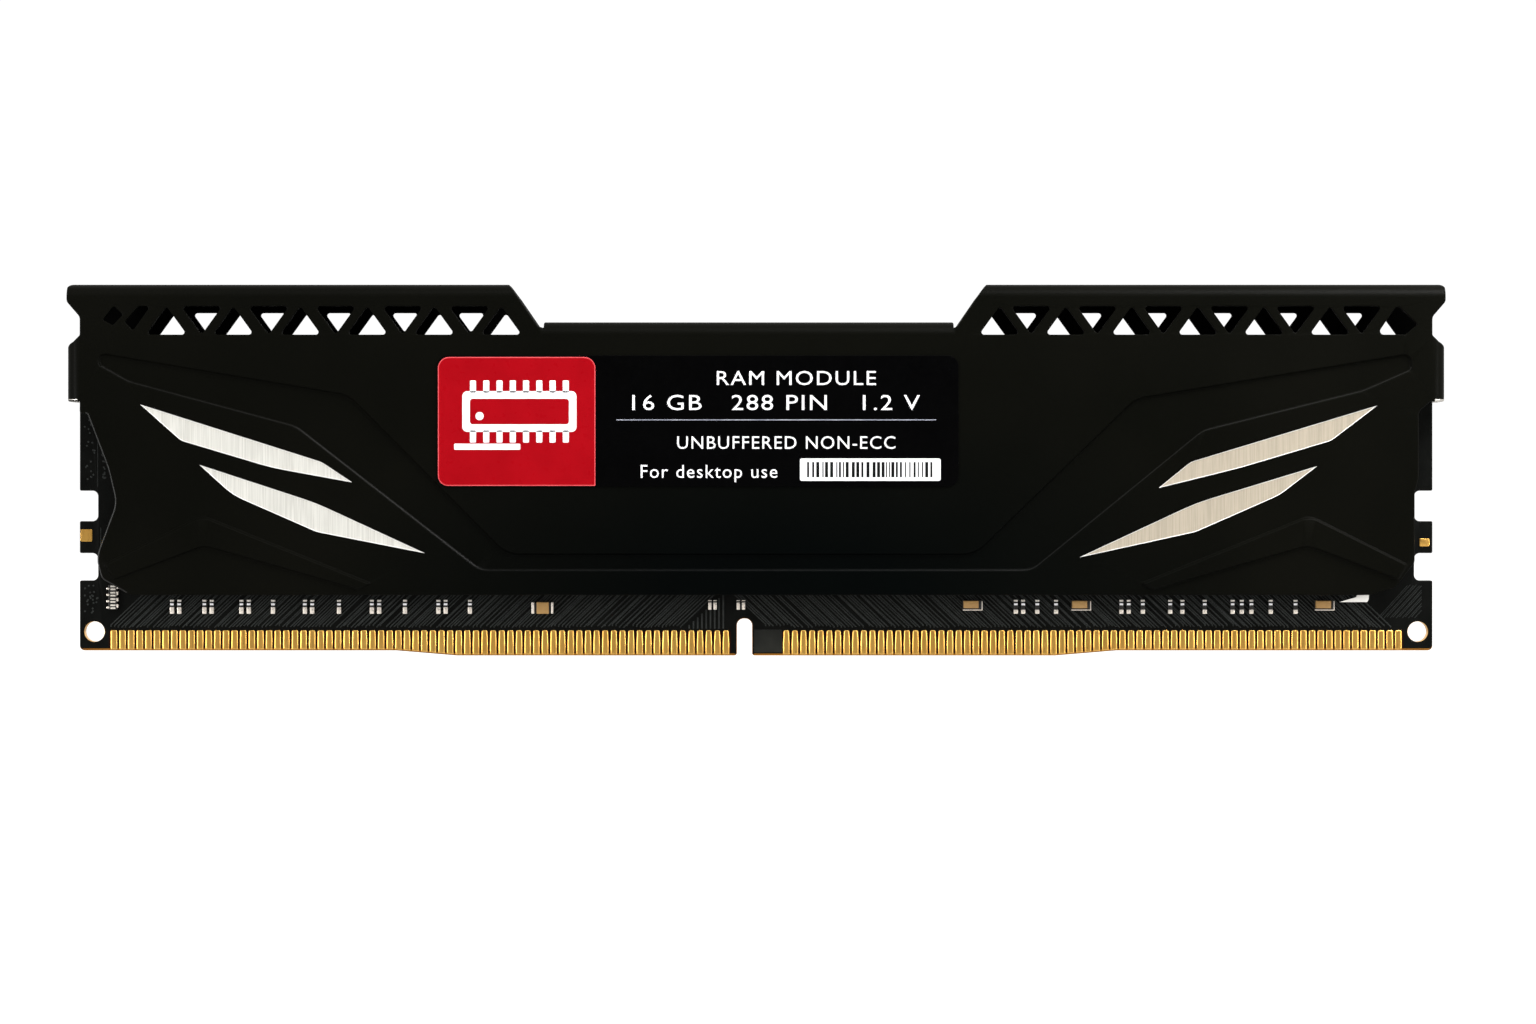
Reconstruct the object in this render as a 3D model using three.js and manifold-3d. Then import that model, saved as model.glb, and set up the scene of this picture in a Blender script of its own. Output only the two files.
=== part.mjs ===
// Desktop memory module: a 288-contact circuit board between two folded aluminium heat spreaders.
// Millimetres. X runs along the board, +Z is up, and the labelled front faces -Y.
// The origin is the middle of the contact edge, on the board's centre plane.
import * as THREE from "three";
import { mergeVertices } from "three/addons/utils/BufferGeometryUtils.js";
import Module from "manifold-3d";

const wasm = await Module();
wasm.setup();

// ---- driving dimensions -------------------------------------------------------------------------

const BOARD = { width: 133.35, height: 31.25, thickness: 1.4, corner: 0.5, bevel: 0.2 };
// The contact edge is lowest in the middle and steps up towards both ends along a short ramp.
const EDGE_STEP = { rise: 0.5, from: 29.5, to: 35.5 };
const KEY_SLOT = { x: -1.15, width: 1.5, top: 3.65, mouth: 0.25 };
const LATCH_NOTCHES = [
  { low: 7.4, high: 10.1 },
  { low: 13.25, high: 16.25 },
];
const NOTCH_DEPTH = 1.8;
const NOTCH_CORNER = 0.55;
const CORNER_HOLE = { fromEnd: 1.45, z: 2.36, radius: 1.0 };

const CONTACT = { pitch: 0.85, width: 0.6, top: 2.5, thickness: 0.05, perField: 72, fromEnd: 3.35 };
const PLATING_BAR = 0.15; // strip that joins the fingers just above the bevel

const SHEET = 0.8; // aluminium thickness
const SPREADER_FACE = 3.1; // outer face of a spreader from the centre plane
const RELIEF = 0.3; // depth of the sunken band, and height of the raised ribs
const STRIPE_DEPTH = 0.1; // machined accent stripes
const BEND = 1.3; // outside radius of every fold
const SPREADER_END = 67.65; // outside of the side tabs and of the wing tips
const WAIST_END = SPREADER_END - BEND; // flat plate ends here and the side tabs fold back
const WING_TOP = 36.5;
const SADDLE_TOP = 32.8; // lower rim between the two wings
const SADDLE = { left: -20.85, right: 19.4, relief: 32.35 };
const EAR_RUN = 2.85; // horizontal run of the slope from wing top to saddle
const SPREADER_BOTTOM = 6.0;
const TAB = { low: 25.05, high: 30.5, shoulder: 31.4 };
const SEAM = 0.1; // each folded flange stops this far from the centre plane

const TRUSS = { low: 31.55, high: 34.35, corner: 0.25, halfBase: 2.02, lean: 3.1 };
const REAR_TRUSS = { drop: 0.45, trim: 0.6, lean: 3.45 }; // lower, with narrower inverted holes
const CHIP = { width: 7.5, height: 11, z: 15.6, rise: 1.1, perSide: 8 };
const CHIP_XS = [10.5, 24.7, 38.9, 53.1]; // centres to the right of the middle, mirrored to the left
const CONFIGURATION_CHIP = { x: 0, z: 14, width: 2, height: 3, rise: 0.75, standOff: 0.1 };
const LAP = 0.02; // glue or solder line left open between stacked parts
const ARC_STEPS = 2;
const PAST = 5; // further forward than any face on one side, for cutters and slabs

const boardHalf = BOARD.thickness / 2;
const chipTop = boardHalf + LAP + CHIP.rise;
const spreaderInside = SPREADER_FACE - SHEET;

const COLOURS = {
  solderMask: { color: 0x151614, roughness: 0.4, metalness: 0 },
  gold: { color: 0xd9a441, roughness: 0.25, metalness: 1 },
  anodised: { color: 0x131410, roughness: 0.45, metalness: 0.6 },
  mould: { color: 0x1b1c1e, roughness: 0.7, metalness: 0 },
  thermalPad: { color: 0x7f8da3, roughness: 0.9, metalness: 0 },
  label: { color: 0x0a0a0a, roughness: 0.3, metalness: 0 },
  ceramic: { color: 0x2a2623, roughness: 0.5, metalness: 0 },
  paper: { color: 0xe6e2da, roughness: 0.8, metalness: 0 },
};

// ---- solids -------------------------------------------------------------------------------------

function toSolid(geometry) {
  const bare = geometry.clone();
  bare.deleteAttribute("normal");
  bare.deleteAttribute("uv");
  const merged = mergeVertices(bare, 1e-4);
  return new wasm.Manifold(
    new wasm.Mesh({
      numProp: 3,
      vertProperties: merged.attributes.position.array,
      triVerts: new Uint32Array(merged.index.array),
    }),
  );
}

function toGeometry(solid) {
  const mesh = solid.getMesh();
  return new THREE.BufferGeometry()
    .setAttribute("position", new THREE.BufferAttribute(mesh.vertProperties, 3))
    .setIndex(new THREE.BufferAttribute(mesh.triVerts, 1));
}

const join = (solids) => solids.reduce((whole, piece) => whole.add(piece));
const cut = (whole, solids) => solids.reduce((rest, piece) => rest.subtract(piece), whole);

// A closed outline from [x, y, corner radius] points; a corner with a radius becomes a true arc.
function outline(points) {
  const path = new THREE.Shape();
  const at = (i) => new THREE.Vector2(...points[(i + points.length) % points.length].slice(0, 2));
  points.forEach(([x, y, radius = 0], i) => {
    const corner = new THREE.Vector2(x, y);
    const back = at(i - 1).sub(corner).normalize();
    const ahead = at(i + 1).sub(corner).normalize();
    const half = Math.acos(THREE.MathUtils.clamp(back.dot(ahead), -1, 1)) / 2;
    const run = radius / Math.tan(half);
    const start = corner.clone().addScaledVector(back, run);
    if (i === 0) path.moveTo(start.x, start.y);
    else path.lineTo(start.x, start.y);
    if (radius > 0) {
      const centre = back.clone().add(ahead).normalize();
      centre.multiplyScalar(radius / Math.sin(half)).add(corner);
      const end = corner.clone().addScaledVector(ahead, run);
      const clockwise = back.cross(ahead) > 0;
      const angle = (p) => Math.atan2(p.y - centre.y, p.x - centre.x);
      path.absarc(centre.x, centre.y, radius, angle(start), angle(end), clockwise);
    }
  });
  path.closePath();
  return path;
}

// A circle drawn as four quarter arcs.
function circle(x, y, radius) {
  const path = new THREE.Path();
  const quarter = Math.PI / 2;
  for (let i = 0; i < 4; i++) path.absarc(x, y, radius, i * quarter, (i + 1) * quarter);
  return path;
}

function prism(shape, length) {
  return new THREE.ExtrudeGeometry(shape, {
    depth: length,
    bevelEnabled: false,
    curveSegments: ARC_STEPS,
  });
}

const basis = (x, y, z) =>
  new THREE.Matrix4().makeBasis(
    new THREE.Vector3(...x),
    new THREE.Vector3(...y),
    new THREE.Vector3(...z),
  );

// A front-view shape (x, z) made solid between two distances in front of the centre plane.
function frontSlab(shape, near, far) {
  const geometry = prism(shape, far - near).applyMatrix4(basis([1, 0, 0], [0, 0, 1], [0, -1, 0]));
  return toSolid(geometry.translate(0, -near, 0));
}

// An end-view shape (y, z) made solid from x = left to x = right.
function alongX(shape, left, right) {
  const geometry = prism(shape, right - left).applyMatrix4(basis([0, 1, 0], [0, 0, 1], [1, 0, 0]));
  return toSolid(geometry.translate(left, 0, 0));
}

// A plan-view shape (x, y) made solid from z = low to z = high.
function alongZ(shape, low, high) {
  return toSolid(prism(shape, high - low).translate(0, 0, low));
}

const rectangle = (x0, z0, x1, z1, corner = 0) =>
  outline([[x0, z0, corner], [x1, z0, corner], [x1, z1, corner], [x0, z1, corner]]);

// A box on the front, given by its centre (x, z), its size, and the distances it lies between.
const block = (x, z, width, height, near, far) =>
  frontSlab(rectangle(x - width / 2, z - height / 2, x + width / 2, z + height / 2), near, far);

const mirrorX = (points) => points.map(([x, z, radius]) => [-x, z, radius]).reverse();

function piece(name, solid, look) {
  const mesh = new THREE.Mesh(toGeometry(solid), new THREE.MeshStandardMaterial(look));
  mesh.name = name;
  return mesh;
}

// ---- circuit board ------------------------------------------------------------------------------

// Height of the contact edge at a distance along the board.
function edgeHeight(x) {
  const share = (Math.abs(x) - EDGE_STEP.from) / (EDGE_STEP.to - EDGE_STEP.from);
  return EDGE_STEP.rise * THREE.MathUtils.clamp(share, 0, 1);
}

function boardOutline() {
  const end = BOARD.width / 2;
  const inner = end - NOTCH_DEPTH;
  const rightSide = [
    [end, EDGE_STEP.rise, BOARD.corner],
    ...LATCH_NOTCHES.flatMap(({ low, high }) => [
      [end, low, 0.15],
      [inner, low, NOTCH_CORNER],
      [inner, high, NOTCH_CORNER],
      [end, high, 0.15],
    ]),
    [end, BOARD.height, BOARD.corner],
  ];
  const slotLeft = KEY_SLOT.x - KEY_SLOT.width / 2;
  const slotRight = KEY_SLOT.x + KEY_SLOT.width / 2;
  const slotRound = KEY_SLOT.width / 2 - 0.01;
  const shape = outline([
    [-EDGE_STEP.to, EDGE_STEP.rise],
    [-EDGE_STEP.from, 0],
    [slotLeft, 0, KEY_SLOT.mouth],
    [slotLeft, KEY_SLOT.top, slotRound],
    [slotRight, KEY_SLOT.top, slotRound],
    [slotRight, 0, KEY_SLOT.mouth],
    [EDGE_STEP.from, 0],
    [EDGE_STEP.to, EDGE_STEP.rise],
    ...rightSide,
    ...mirrorX(rightSide),
  ]);
  for (const side of [-1, 1]) {
    shape.holes.push(circle(side * (end - CORNER_HOLE.fromEnd), CORNER_HOLE.z, CORNER_HOLE.radius));
  }
  return shape;
}

// One straight stretch of the bevel cutter, sheared to follow the contact edge.
function bevelCutter(left, right, side) {
  const outer = side * (boardHalf + 0.2);
  const inner = side * (boardHalf - BOARD.bevel);
  const foot = -BOARD.bevel - 0.1;
  const slant = [[inner, 0], [side * boardHalf, BOARD.bevel]];
  const shape = outline([[inner, foot], ...slant, [outer, BOARD.bevel], [outer, foot]]);
  const slope = (edgeHeight(right) - edgeHeight(left)) / (right - left);
  const start = edgeHeight(left) - slope * left;
  const shear = new THREE.Matrix4().set(1, 0, 0, 0, 0, 1, 0, 0, slope, 0, 1, start, 0, 0, 0, 1);
  const geometry = prism(shape, right - left).applyMatrix4(basis([0, 1, 0], [0, 0, 1], [1, 0, 0]));
  return toSolid(geometry.translate(left, 0, 0).applyMatrix4(shear));
}

function circuitBoard() {
  const end = BOARD.width / 2;
  const plate = frontSlab(boardOutline(), -boardHalf, boardHalf);
  const stations = [-end - 0.5, -EDGE_STEP.to, -EDGE_STEP.from, EDGE_STEP.from, EDGE_STEP.to, end + 0.5];
  const cutters = stations
    .slice(1)
    .flatMap((right, i) => [-1, 1].map((side) => bevelCutter(stations[i], right, side)));
  return piece("circuit_board", cut(plate, cutters), COLOURS.solderMask);
}

// ---- contacts -----------------------------------------------------------------------------------

// One field of gold fingers, from x = first to the right, joined by the plating bar along its foot.
function contactField(name, first) {
  const last = first + (CONTACT.perField - 1) * CONTACT.pitch;
  const foot = (x) => edgeHeight(x) + BOARD.bevel + LAP;
  const half = CONTACT.width / 2;
  const points = [];
  for (let i = 0; i < CONTACT.perField; i++) {
    const x = first + i * CONTACT.pitch;
    points.push([x - half, foot(x - half) + (i ? PLATING_BAR : 0)], [x - half, CONTACT.top]);
    points.push([x + half, CONTACT.top], [x + half, foot(x + half) + (x < last - half ? PLATING_BAR : 0)]);
  }
  const bends = [EDGE_STEP.to, EDGE_STEP.from, -EDGE_STEP.from, -EDGE_STEP.to];
  bends.filter((x) => x > first && x < last).forEach((x) => points.push([x, foot(x)]));
  const near = boardHalf + LAP;
  return piece(name, frontSlab(outline(points), near, near + CONTACT.thickness), COLOURS.gold);
}

function contactFields(side) {
  const outer = BOARD.width / 2 - CONTACT.fromEnd;
  const run = (CONTACT.perField - 1) * CONTACT.pitch;
  return [
    contactField(`${side}_contacts_left`, -outer),
    contactField(`${side}_contacts_right`, outer - run),
  ];
}

// ---- heat spreader ------------------------------------------------------------------------------

// End view of the folded sheet: the plate, the fold over the top and the flange towards the seam.
function foldedProfile(top) {
  const inner = BEND - SHEET;
  const pivot = -(SPREADER_FACE - BEND);
  const shape = new THREE.Shape();
  shape.moveTo(-SPREADER_FACE, 0);
  shape.lineTo(-SPREADER_FACE, top - BEND);
  shape.absarc(pivot, top - BEND, BEND, Math.PI, Math.PI / 2, true);
  shape.lineTo(-SEAM, top);
  shape.lineTo(-SEAM, top - SHEET);
  shape.lineTo(pivot, top - SHEET);
  shape.absarc(pivot, top - BEND, inner, Math.PI / 2, Math.PI, false);
  shape.lineTo(-spreaderInside, 0);
  shape.closePath();
  return shape;
}

// Plan view of a side tab, folded back round the end of the board.
function tabProfile(side) {
  const inner = BEND - SHEET;
  const pivotY = -(SPREADER_FACE - BEND);
  const turn = (angle) => (side > 0 ? angle : Math.PI - angle);
  const shape = new THREE.Shape();
  shape.moveTo(side * (WAIST_END - 0.5), -SPREADER_FACE);
  shape.lineTo(side * WAIST_END, -SPREADER_FACE);
  shape.absarc(side * WAIST_END, pivotY, BEND, turn(-Math.PI / 2), turn(0), side < 0);
  shape.lineTo(side * SPREADER_END, -SEAM);
  shape.lineTo(side * (SPREADER_END - SHEET), -SEAM);
  shape.lineTo(side * (WAIST_END + inner), pivotY);
  shape.absarc(side * WAIST_END, pivotY, inner, turn(0), turn(-Math.PI / 2), side > 0);
  shape.lineTo(side * (WAIST_END - 0.5), -spreaderInside);
  shape.closePath();
  return shape;
}

// The left edge of the plate bays in round the board's latch notches; the right one is nearly straight.
function spreaderOutline() {
  const earTop = { left: SADDLE.left - 0.5 - EAR_RUN, right: SADDLE.right + 0.3 + EAR_RUN };
  return outline([
    [-61.4, SPREADER_BOTTOM, 1.5],
    [60.2, SPREADER_BOTTOM, 1.5],
    [62.7, 6.75, 1],
    [64.6, 9.2, 0.8],
    [64.6, 16, 1.5],
    [65, 17.5, 1.5],
    [65, 24, 0.8],
    [WAIST_END, TAB.low, 0.4],
    [WAIST_END, 33.3, 0.7],
    [SPREADER_END, 34.8, 0.6],
    [SPREADER_END, WING_TOP, 0.5],
    [earTop.right, WING_TOP, 0.2],
    [SADDLE.right + 0.3, SADDLE.relief, 0.1],
    [SADDLE.right, SADDLE.relief],
    [SADDLE.right, SADDLE_TOP],
    [SADDLE.left, SADDLE_TOP],
    [SADDLE.left, SADDLE.relief],
    [SADDLE.left - 0.5, SADDLE.relief, 0.2],
    [earTop.left, WING_TOP, 0.2],
    [-SPREADER_END, WING_TOP, 0.5],
    [-SPREADER_END, 34.8, 0.6],
    [-WAIST_END, 33.3, 0.7],
    [-WAIST_END, 23.9, 0.2],
    [-65.6, 23.8, 0.3],
    [-63.55, 18.4, 8],
    [-62.75, 15, 3],
    [-64.75, 9.7, 3],
    [-64.2, 7.6, 1],
  ]);
}

// Sunken band: from a point by each end it drops at a slant to a level run below the middle.
const sunkenBand = () =>
  outline([
    [-64.6, 29.9, 0.7],
    [-39.9, 25.75, 3],
    [-24.4, 10.15, 3],
    [21.4, 10.15, 3],
    [37.2, 25.4, 3],
    [64.4, 29.85, 0.9],
    [64.4, 28, 0.6],
    [59.6, 25.9, 4],
    [43.9, 22, 3],
    [27.1, 8.3, 2.5],
    [-27.1, 8.3, 2.5],
    [-45.2, 22.4, 3],
    [-61.6, 26.8, 3],
    [-64.6, 28.5, 0.6],
  ]);

// Raised rib over each bottom corner, bent like a low roof. Points are for the right side.
const raisedRib = (side) => {
  const points = [
    [39.2, 6.3, 0.2],
    [54.1, 10.7, 2],
    [62.9, 7.4, 0.2],
    [64.2, 9.2, 0.2],
    [54.3, 13.9, 2],
    [37.8, 7.2, 0.2],
  ];
  return outline(side > 0 ? points : mirrorX(points));
};

// Two machined accent stripes a side, slanting down towards the middle. Points are for the right.
const STRIPES = [
  [[61.1, 24.8], [42.6, 19.05, 2], [39.7, 16.7], [47.5, 18.5, 20], [56.4, 21.15, 1.5]],
  [[55.1, 18.75], [43.2, 15.05, 20], [32.3, 9.95], [43.1, 12.2, 3], [51.3, 15.8, 6]],
];

const stripe = (points, side) => outline(side > 0 ? points : mirrorX(points));

// Rounded triangle of the truss, pointing up or down; trim makes it smaller with its sides parallel.
function trussTriangle(x, pointsUp, trim = 0) {
  const { low, high, corner } = TRUSS;
  const half = TRUSS.halfBase - trim;
  const rise = ((high - low) * half) / TRUSS.halfBase;
  const [base, tip] = pointsUp ? [low, low + rise] : [high, high - rise];
  const points = [[x - half, base, corner], [x, tip, corner], [x + half, base, corner]];
  return outline(pointsUp ? points : points.reverse());
}

// Ventilation truss under each wing rim. The rear one has no end holes.
function trussCutters(rear) {
  const { drop, trim, lean } = rear ? REAR_TRUSS : { drop: 0, trim: 0, lean: TRUSS.lean };
  const wings = [
    { first: rear ? -24.85 : -25, step: -6.57, side: -1, up: 6, down: 5 },
    { first: rear ? 23.15 : 23.9, step: 6.48, side: 1, up: rear ? 7 : 6, down: 6 },
  ];
  const shapes = wings.flatMap(({ first, step, side, up, down }) => {
    const place = (i) => first + i * step;
    const ups = [...Array(up).keys()].map((i) => trussTriangle(place(i), true));
    const downs = [...Array(down).keys()].map((i) => trussTriangle(place(i) + side * lean, false, trim));
    return [...ups, ...downs];
  });
  if (!rear) shapes.push(...endHoles());
  return shapes.map((shape) => frontSlab(shape, boardHalf, PAST).translate([0, 0, -drop]));
}

// The outermost openings: a diamond and a slanted slot on the left, a cut-off triangle on the right.
const endHoles = () => [
  outline([[-64.1, 33, 0.15], [-63.1, 32.45, 0.2], [-62.1, 33.5, 0.2], [-63, 34.4, 0.2]]),
  outline([[-61.95, 32.8, 0.2], [-61.1, 31.95, 0.2], [-59.4, 34.35, 0.25], [-60.6, 34.35, 0.25]]),
  outline([[60.9, 31.55, 0.35], [63.7, 31.55, 0.4], [64.9, 32.55, 0.2], [62.9, 34.5, 0.45]]),
];

function heatSpreader(side) {
  const rear = side === "rear";
  const profiles = [
    alongX(foldedProfile(WING_TOP), -SPREADER_END, SADDLE.left),
    alongX(foldedProfile(SADDLE_TOP), SADDLE.left, SADDLE.right),
    alongX(foldedProfile(WING_TOP), SADDLE.right, SPREADER_END),
  ];
  const body = join(profiles).intersect(frontSlab(spreaderOutline(), 0, PAST));
  const tabOutline = (x) =>
    outline([
      [x * (WAIST_END - 0.5), TAB.low],
      [x * SPREADER_END, TAB.low, 0.15],
      [x * SPREADER_END, TAB.high, 0.3],
      [x * (WAIST_END - 0.5), TAB.shoulder + 0.3],
    ]);
  const tabs = [-1, 1].map((x) =>
    alongZ(tabProfile(x), TAB.low - 1, TAB.shoulder + 1).intersect(frontSlab(tabOutline(x), 0, PAST)),
  );
  const ribs = [-1, 1].map((x) => frontSlab(raisedRib(x), SPREADER_FACE - 0.2, SPREADER_FACE + RELIEF));
  const pockets = STRIPES.flatMap((points) =>
    [-1, 1].map((x) => frontSlab(stripe(points, x), SPREADER_FACE - STRIPE_DEPTH, PAST)),
  );
  const band = frontSlab(sunkenBand(), SPREADER_FACE - RELIEF, PAST);
  const whole = cut(join([body, ...tabs]), [band, ...pockets, ...trussCutters(rear)]);
  return piece(`${side}_heat_spreader`, join([whole, ...ribs]), COLOURS.anodised);
}

// ---- parts between the board and the spreaders --------------------------------------------------

// A ball-grid package: ball field, substrate and moulded cap in one closed body.
function memoryChip(name, x) {
  const start = boardHalf + LAP;
  const { width, height, z, rise } = CHIP;
  const body = join([
    block(x, z, width - 0.9, height - 0.9, start, start + 0.3),
    block(x, z, width, height, start + 0.25, start + 0.5),
    block(x, z, width - 0.2, height - 0.2, start + 0.45, start + rise),
  ]);
  return piece(name, body, COLOURS.mould);
}

function memoryChips(side) {
  const centres = [...CHIP_XS.map((x) => -x).reverse(), ...CHIP_XS];
  return centres.map((x, i) => memoryChip(`${side}_memory_chip_${i + 1}`, x));
}

function thermalPad(side) {
  const reach = CHIP_XS.at(-1) + CHIP.width / 2 + 1.5;
  const half = CHIP.height / 2 + 0.6;
  const shape = rectangle(-reach, CHIP.z - half, reach, CHIP.z + half, 0.8);
  const pad = frontSlab(shape, chipTop + LAP, spreaderInside - LAP);
  return piece(`${side}_thermal_pad`, pad, COLOURS.thermalPad);
}

// Small configuration memory in the middle of the front, between the two groups of chips.
function configurationChip() {
  const { x, z, width, height, rise, standOff } = CONFIGURATION_CHIP;
  const start = boardHalf + LAP;
  const mould = block(x, z, width, height, start + standOff, start + rise);
  const pad = block(x, z, width * 0.7, height * 0.85, start, start + standOff + 0.05);
  return piece("configuration_memory", join([mould, pad]), COLOURS.mould);
}

// ---- parts along the foot of the front ----------------------------------------------------------

// A two-ended chip part: a ceramic body with a soldered metal cap at each end.
function chipPart(x, z, { length, width, rise, cap, upright }) {
  const start = boardHalf + LAP;
  const size = (along, across) => (upright ? [across, along] : [along, across]);
  const shifted = (offset) => (upright ? [x, z + offset] : [x + offset, z]);
  const ends = [-1, 1].map((end) =>
    block(...shifted((end * (length - cap)) / 2), ...size(cap, width + 0.06), start, start + rise),
  );
  return join([block(x, z, ...size(length - 0.1, width), start + 0.05, start + rise - 0.04), ...ends]);
}

const RESISTOR = { length: 1.45, width: 0.5, rise: 0.37, cap: 0.3, upright: true };
const SMALL_CAPACITOR = { length: 1.9, width: 0.85, rise: 0.8, cap: 0.3, upright: false };
const LARGE_CAPACITOR = { length: 2.3, width: 1.25, rise: 0.9, cap: 0.35, upright: false };
const LABEL = { left: -31.25, right: 19.85, low: 16.65, high: 29.5, corner: 1.1, thickness: 0.14 };
const ARRAY = {
  x: -63.4,
  z: 5.75,
  pitch: 0.66,
  body: { width: 0.9, height: 2.5, rise: 0.45 },
  terminal: { width: 0.36, reach: 1.3 },
};
const TAG = { x: 58.75, z: 6.6, width: 2.9, height: 2.6, thickness: 0.1 };
const PART_ROW = 4.8; // height of the row of small parts
const PAIR_PITCH = 0.72;
const PAIR_XS = [-57.2, -54, -50.35, -44.1, -37.5, -30.95, -4.3, -1.5, 25.95, 36.35];
const SINGLE_XS = [
  -47.6, -41.1, -34.6, -28.2, 27.7, 29.55, 38.1, 40.8, 42, 44.2, 46.95, 47.85, 48.8, 50.7, 53.15,
];

function smallParts() {
  const pairs = PAIR_XS.map((x, i) => {
    const [left, right] = [-1, 1].map((s) => chipPart(x + (s * PAIR_PITCH) / 2, PART_ROW, RESISTOR));
    const bridge = block(x, PART_ROW, PAIR_PITCH, 0.3, boardHalf + LAP + 0.1, boardHalf + 0.3);
    return piece(`resistor_pair_${i + 1}`, join([left, right, bridge]), COLOURS.ceramic);
  });
  const singles = SINGLE_XS.map((x, i) =>
    piece(`chip_resistor_${i + 1}`, chipPart(x, PART_ROW, RESISTOR), COLOURS.ceramic),
  );
  const capacitors = [
    chipPart(-21, 4.7, LARGE_CAPACITOR),
    ...[21.3, 32, 56].map((x) => chipPart(x, 4.95, SMALL_CAPACITOR)),
  ].map((body, i) => piece(`bypass_capacitor_${i + 1}`, body, COLOURS.ceramic));
  return [...pairs, ...singles, ...capacitors];
}

// Four resistors in one upright package, by the left end of the spreader.
function resistorArray() {
  const { x, z, pitch, body, terminal } = ARRAY;
  const start = boardHalf + LAP;
  const terminals = [-1.5, -0.5, 0.5, 1.5].map((step) =>
    block(x, z + step * pitch, terminal.reach, terminal.width, start, start + body.rise - 0.05),
  );
  const whole = join([block(x, z, body.width, body.height, start, start + body.rise), ...terminals]);
  return piece("resistor_array", whole, COLOURS.ceramic);
}

// Paper inspection tag behind the spreader's foot; its lower end shows as a bright line.
function inspectionTag() {
  const start = spreaderInside - LAP - TAG.thickness;
  const tag = block(TAG.x, TAG.z, TAG.width, TAG.height, start, start + TAG.thickness);
  return piece("inspection_tag", tag, COLOURS.paper);
}

function frontLabel() {
  const shape = rectangle(LABEL.left, LABEL.low, LABEL.right, LABEL.high, LABEL.corner);
  const start = SPREADER_FACE + LAP;
  return piece("label", frontSlab(shape, start, start + LABEL.thickness), COLOURS.label);
}

// ---- assembly -----------------------------------------------------------------------------------

// Everything on one side, modelled for the front; the rear side is its mirror across the board.
function sideParts(side) {
  const group = new THREE.Group();
  group.add(heatSpreader(side), thermalPad(side), ...memoryChips(side), ...contactFields(side));
  if (side === "rear") group.scale.y = -1;
  return group;
}

const memoryModule = new THREE.Group();
memoryModule.add(circuitBoard(), sideParts("front"), sideParts("rear"));
memoryModule.add(configurationChip(), ...smallParts(), resistorArray(), inspectionTag(), frontLabel());

export default memoryModule;
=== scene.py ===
import math
import random

import bmesh
import bpy
import numpy as np
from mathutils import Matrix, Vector
from mathutils.geometry import delaunay_2d_cdt


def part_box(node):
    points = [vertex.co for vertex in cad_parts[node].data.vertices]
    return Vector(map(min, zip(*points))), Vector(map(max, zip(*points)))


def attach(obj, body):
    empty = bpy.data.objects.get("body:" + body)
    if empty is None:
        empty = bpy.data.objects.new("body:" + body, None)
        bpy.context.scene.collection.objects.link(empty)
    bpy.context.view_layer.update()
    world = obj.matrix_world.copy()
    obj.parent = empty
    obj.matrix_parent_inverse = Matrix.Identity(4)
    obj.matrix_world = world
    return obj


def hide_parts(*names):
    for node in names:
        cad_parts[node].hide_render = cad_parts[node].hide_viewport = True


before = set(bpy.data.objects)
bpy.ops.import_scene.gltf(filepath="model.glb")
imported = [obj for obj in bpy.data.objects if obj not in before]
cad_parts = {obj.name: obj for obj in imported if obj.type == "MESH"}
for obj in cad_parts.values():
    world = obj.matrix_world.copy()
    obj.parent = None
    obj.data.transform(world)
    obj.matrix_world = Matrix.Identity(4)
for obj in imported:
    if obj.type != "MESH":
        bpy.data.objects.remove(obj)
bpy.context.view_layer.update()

# A desktop memory module. Shapes are worked out in millimetres and stored in metres.
# X runs along the board, Z is up, and the labelled front faces -Y.
MM = 0.001

# ---- sizes, in millimetres -------------------------------

BOARD_END, BOARD_HALF, BOARD_TOP = (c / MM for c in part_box("circuit_board")[1])
BEVEL = 0.2
STEP_FROM, STEP_TO, STEP_RISE = 29.5, 35.5, 0.5
SLOT_X, SLOT_WIDTH, SLOT_TOP = -1.15, 1.5, 3.65
NOTCHES = ((7.4, 10.1), (13.25, 16.25))
NOTCH_DEPTH, NOTCH_CORNER = 1.8, 0.55
HOLE_X, HOLE_Z, HOLE_RADIUS = BOARD_END - 1.45, 2.36, 1.0

PITCH, FINGER_WIDTH, FINGER_TOP, FINGERS = 0.85, 0.67, 2.5, 72
FIELD_END = BOARD_END - 3.35
FIELD_STARTS = (-FIELD_END, FIELD_END - (FINGERS - 1) * PITCH)
FINGER_PROUD, FINGER_TAPER = 0.07, 0.06

SHEET = 0.8
FACE = 3.1
RELIEF, RAMP = 0.3, 0.3
STRIPE_DEPTH, STRIPE_RIM = 0.06, 0.06
BEND = 1.3
ARC = BEND * math.pi / 2
END = BOARD_END + 0.975
WAIST = END - BEND
WING_TOP, SADDLE_TOP = 36.5, 32.8
SADDLE_LEFT, SADDLE_RIGHT, SADDLE_RELIEF = -20.85, 19.4, 32.35
EAR_RUN = 2.85
FOOT = 6.0
TAB_LOW, TAB_HIGH, TAB_RAW = 25.0, 30.4, 0.22
SEAM = 0.1
FLANGE = FACE - BEND - SEAM
RIM, VENT_RIM = 0.14, 0.08
TRUSS_LOW, TRUSS_HIGH, TRUSS_HALF, TRUSS_LEAN = 31.55, 34.35, 2.02, 3.1

LABEL = (-31.25, 16.65, 19.85, 29.5)
LABEL_FACE = FACE + 0.16
RED_BLOCK = (-31.25, 16.65, -15.75, 29.35)

# ---- materials -------------------------------------------


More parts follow.
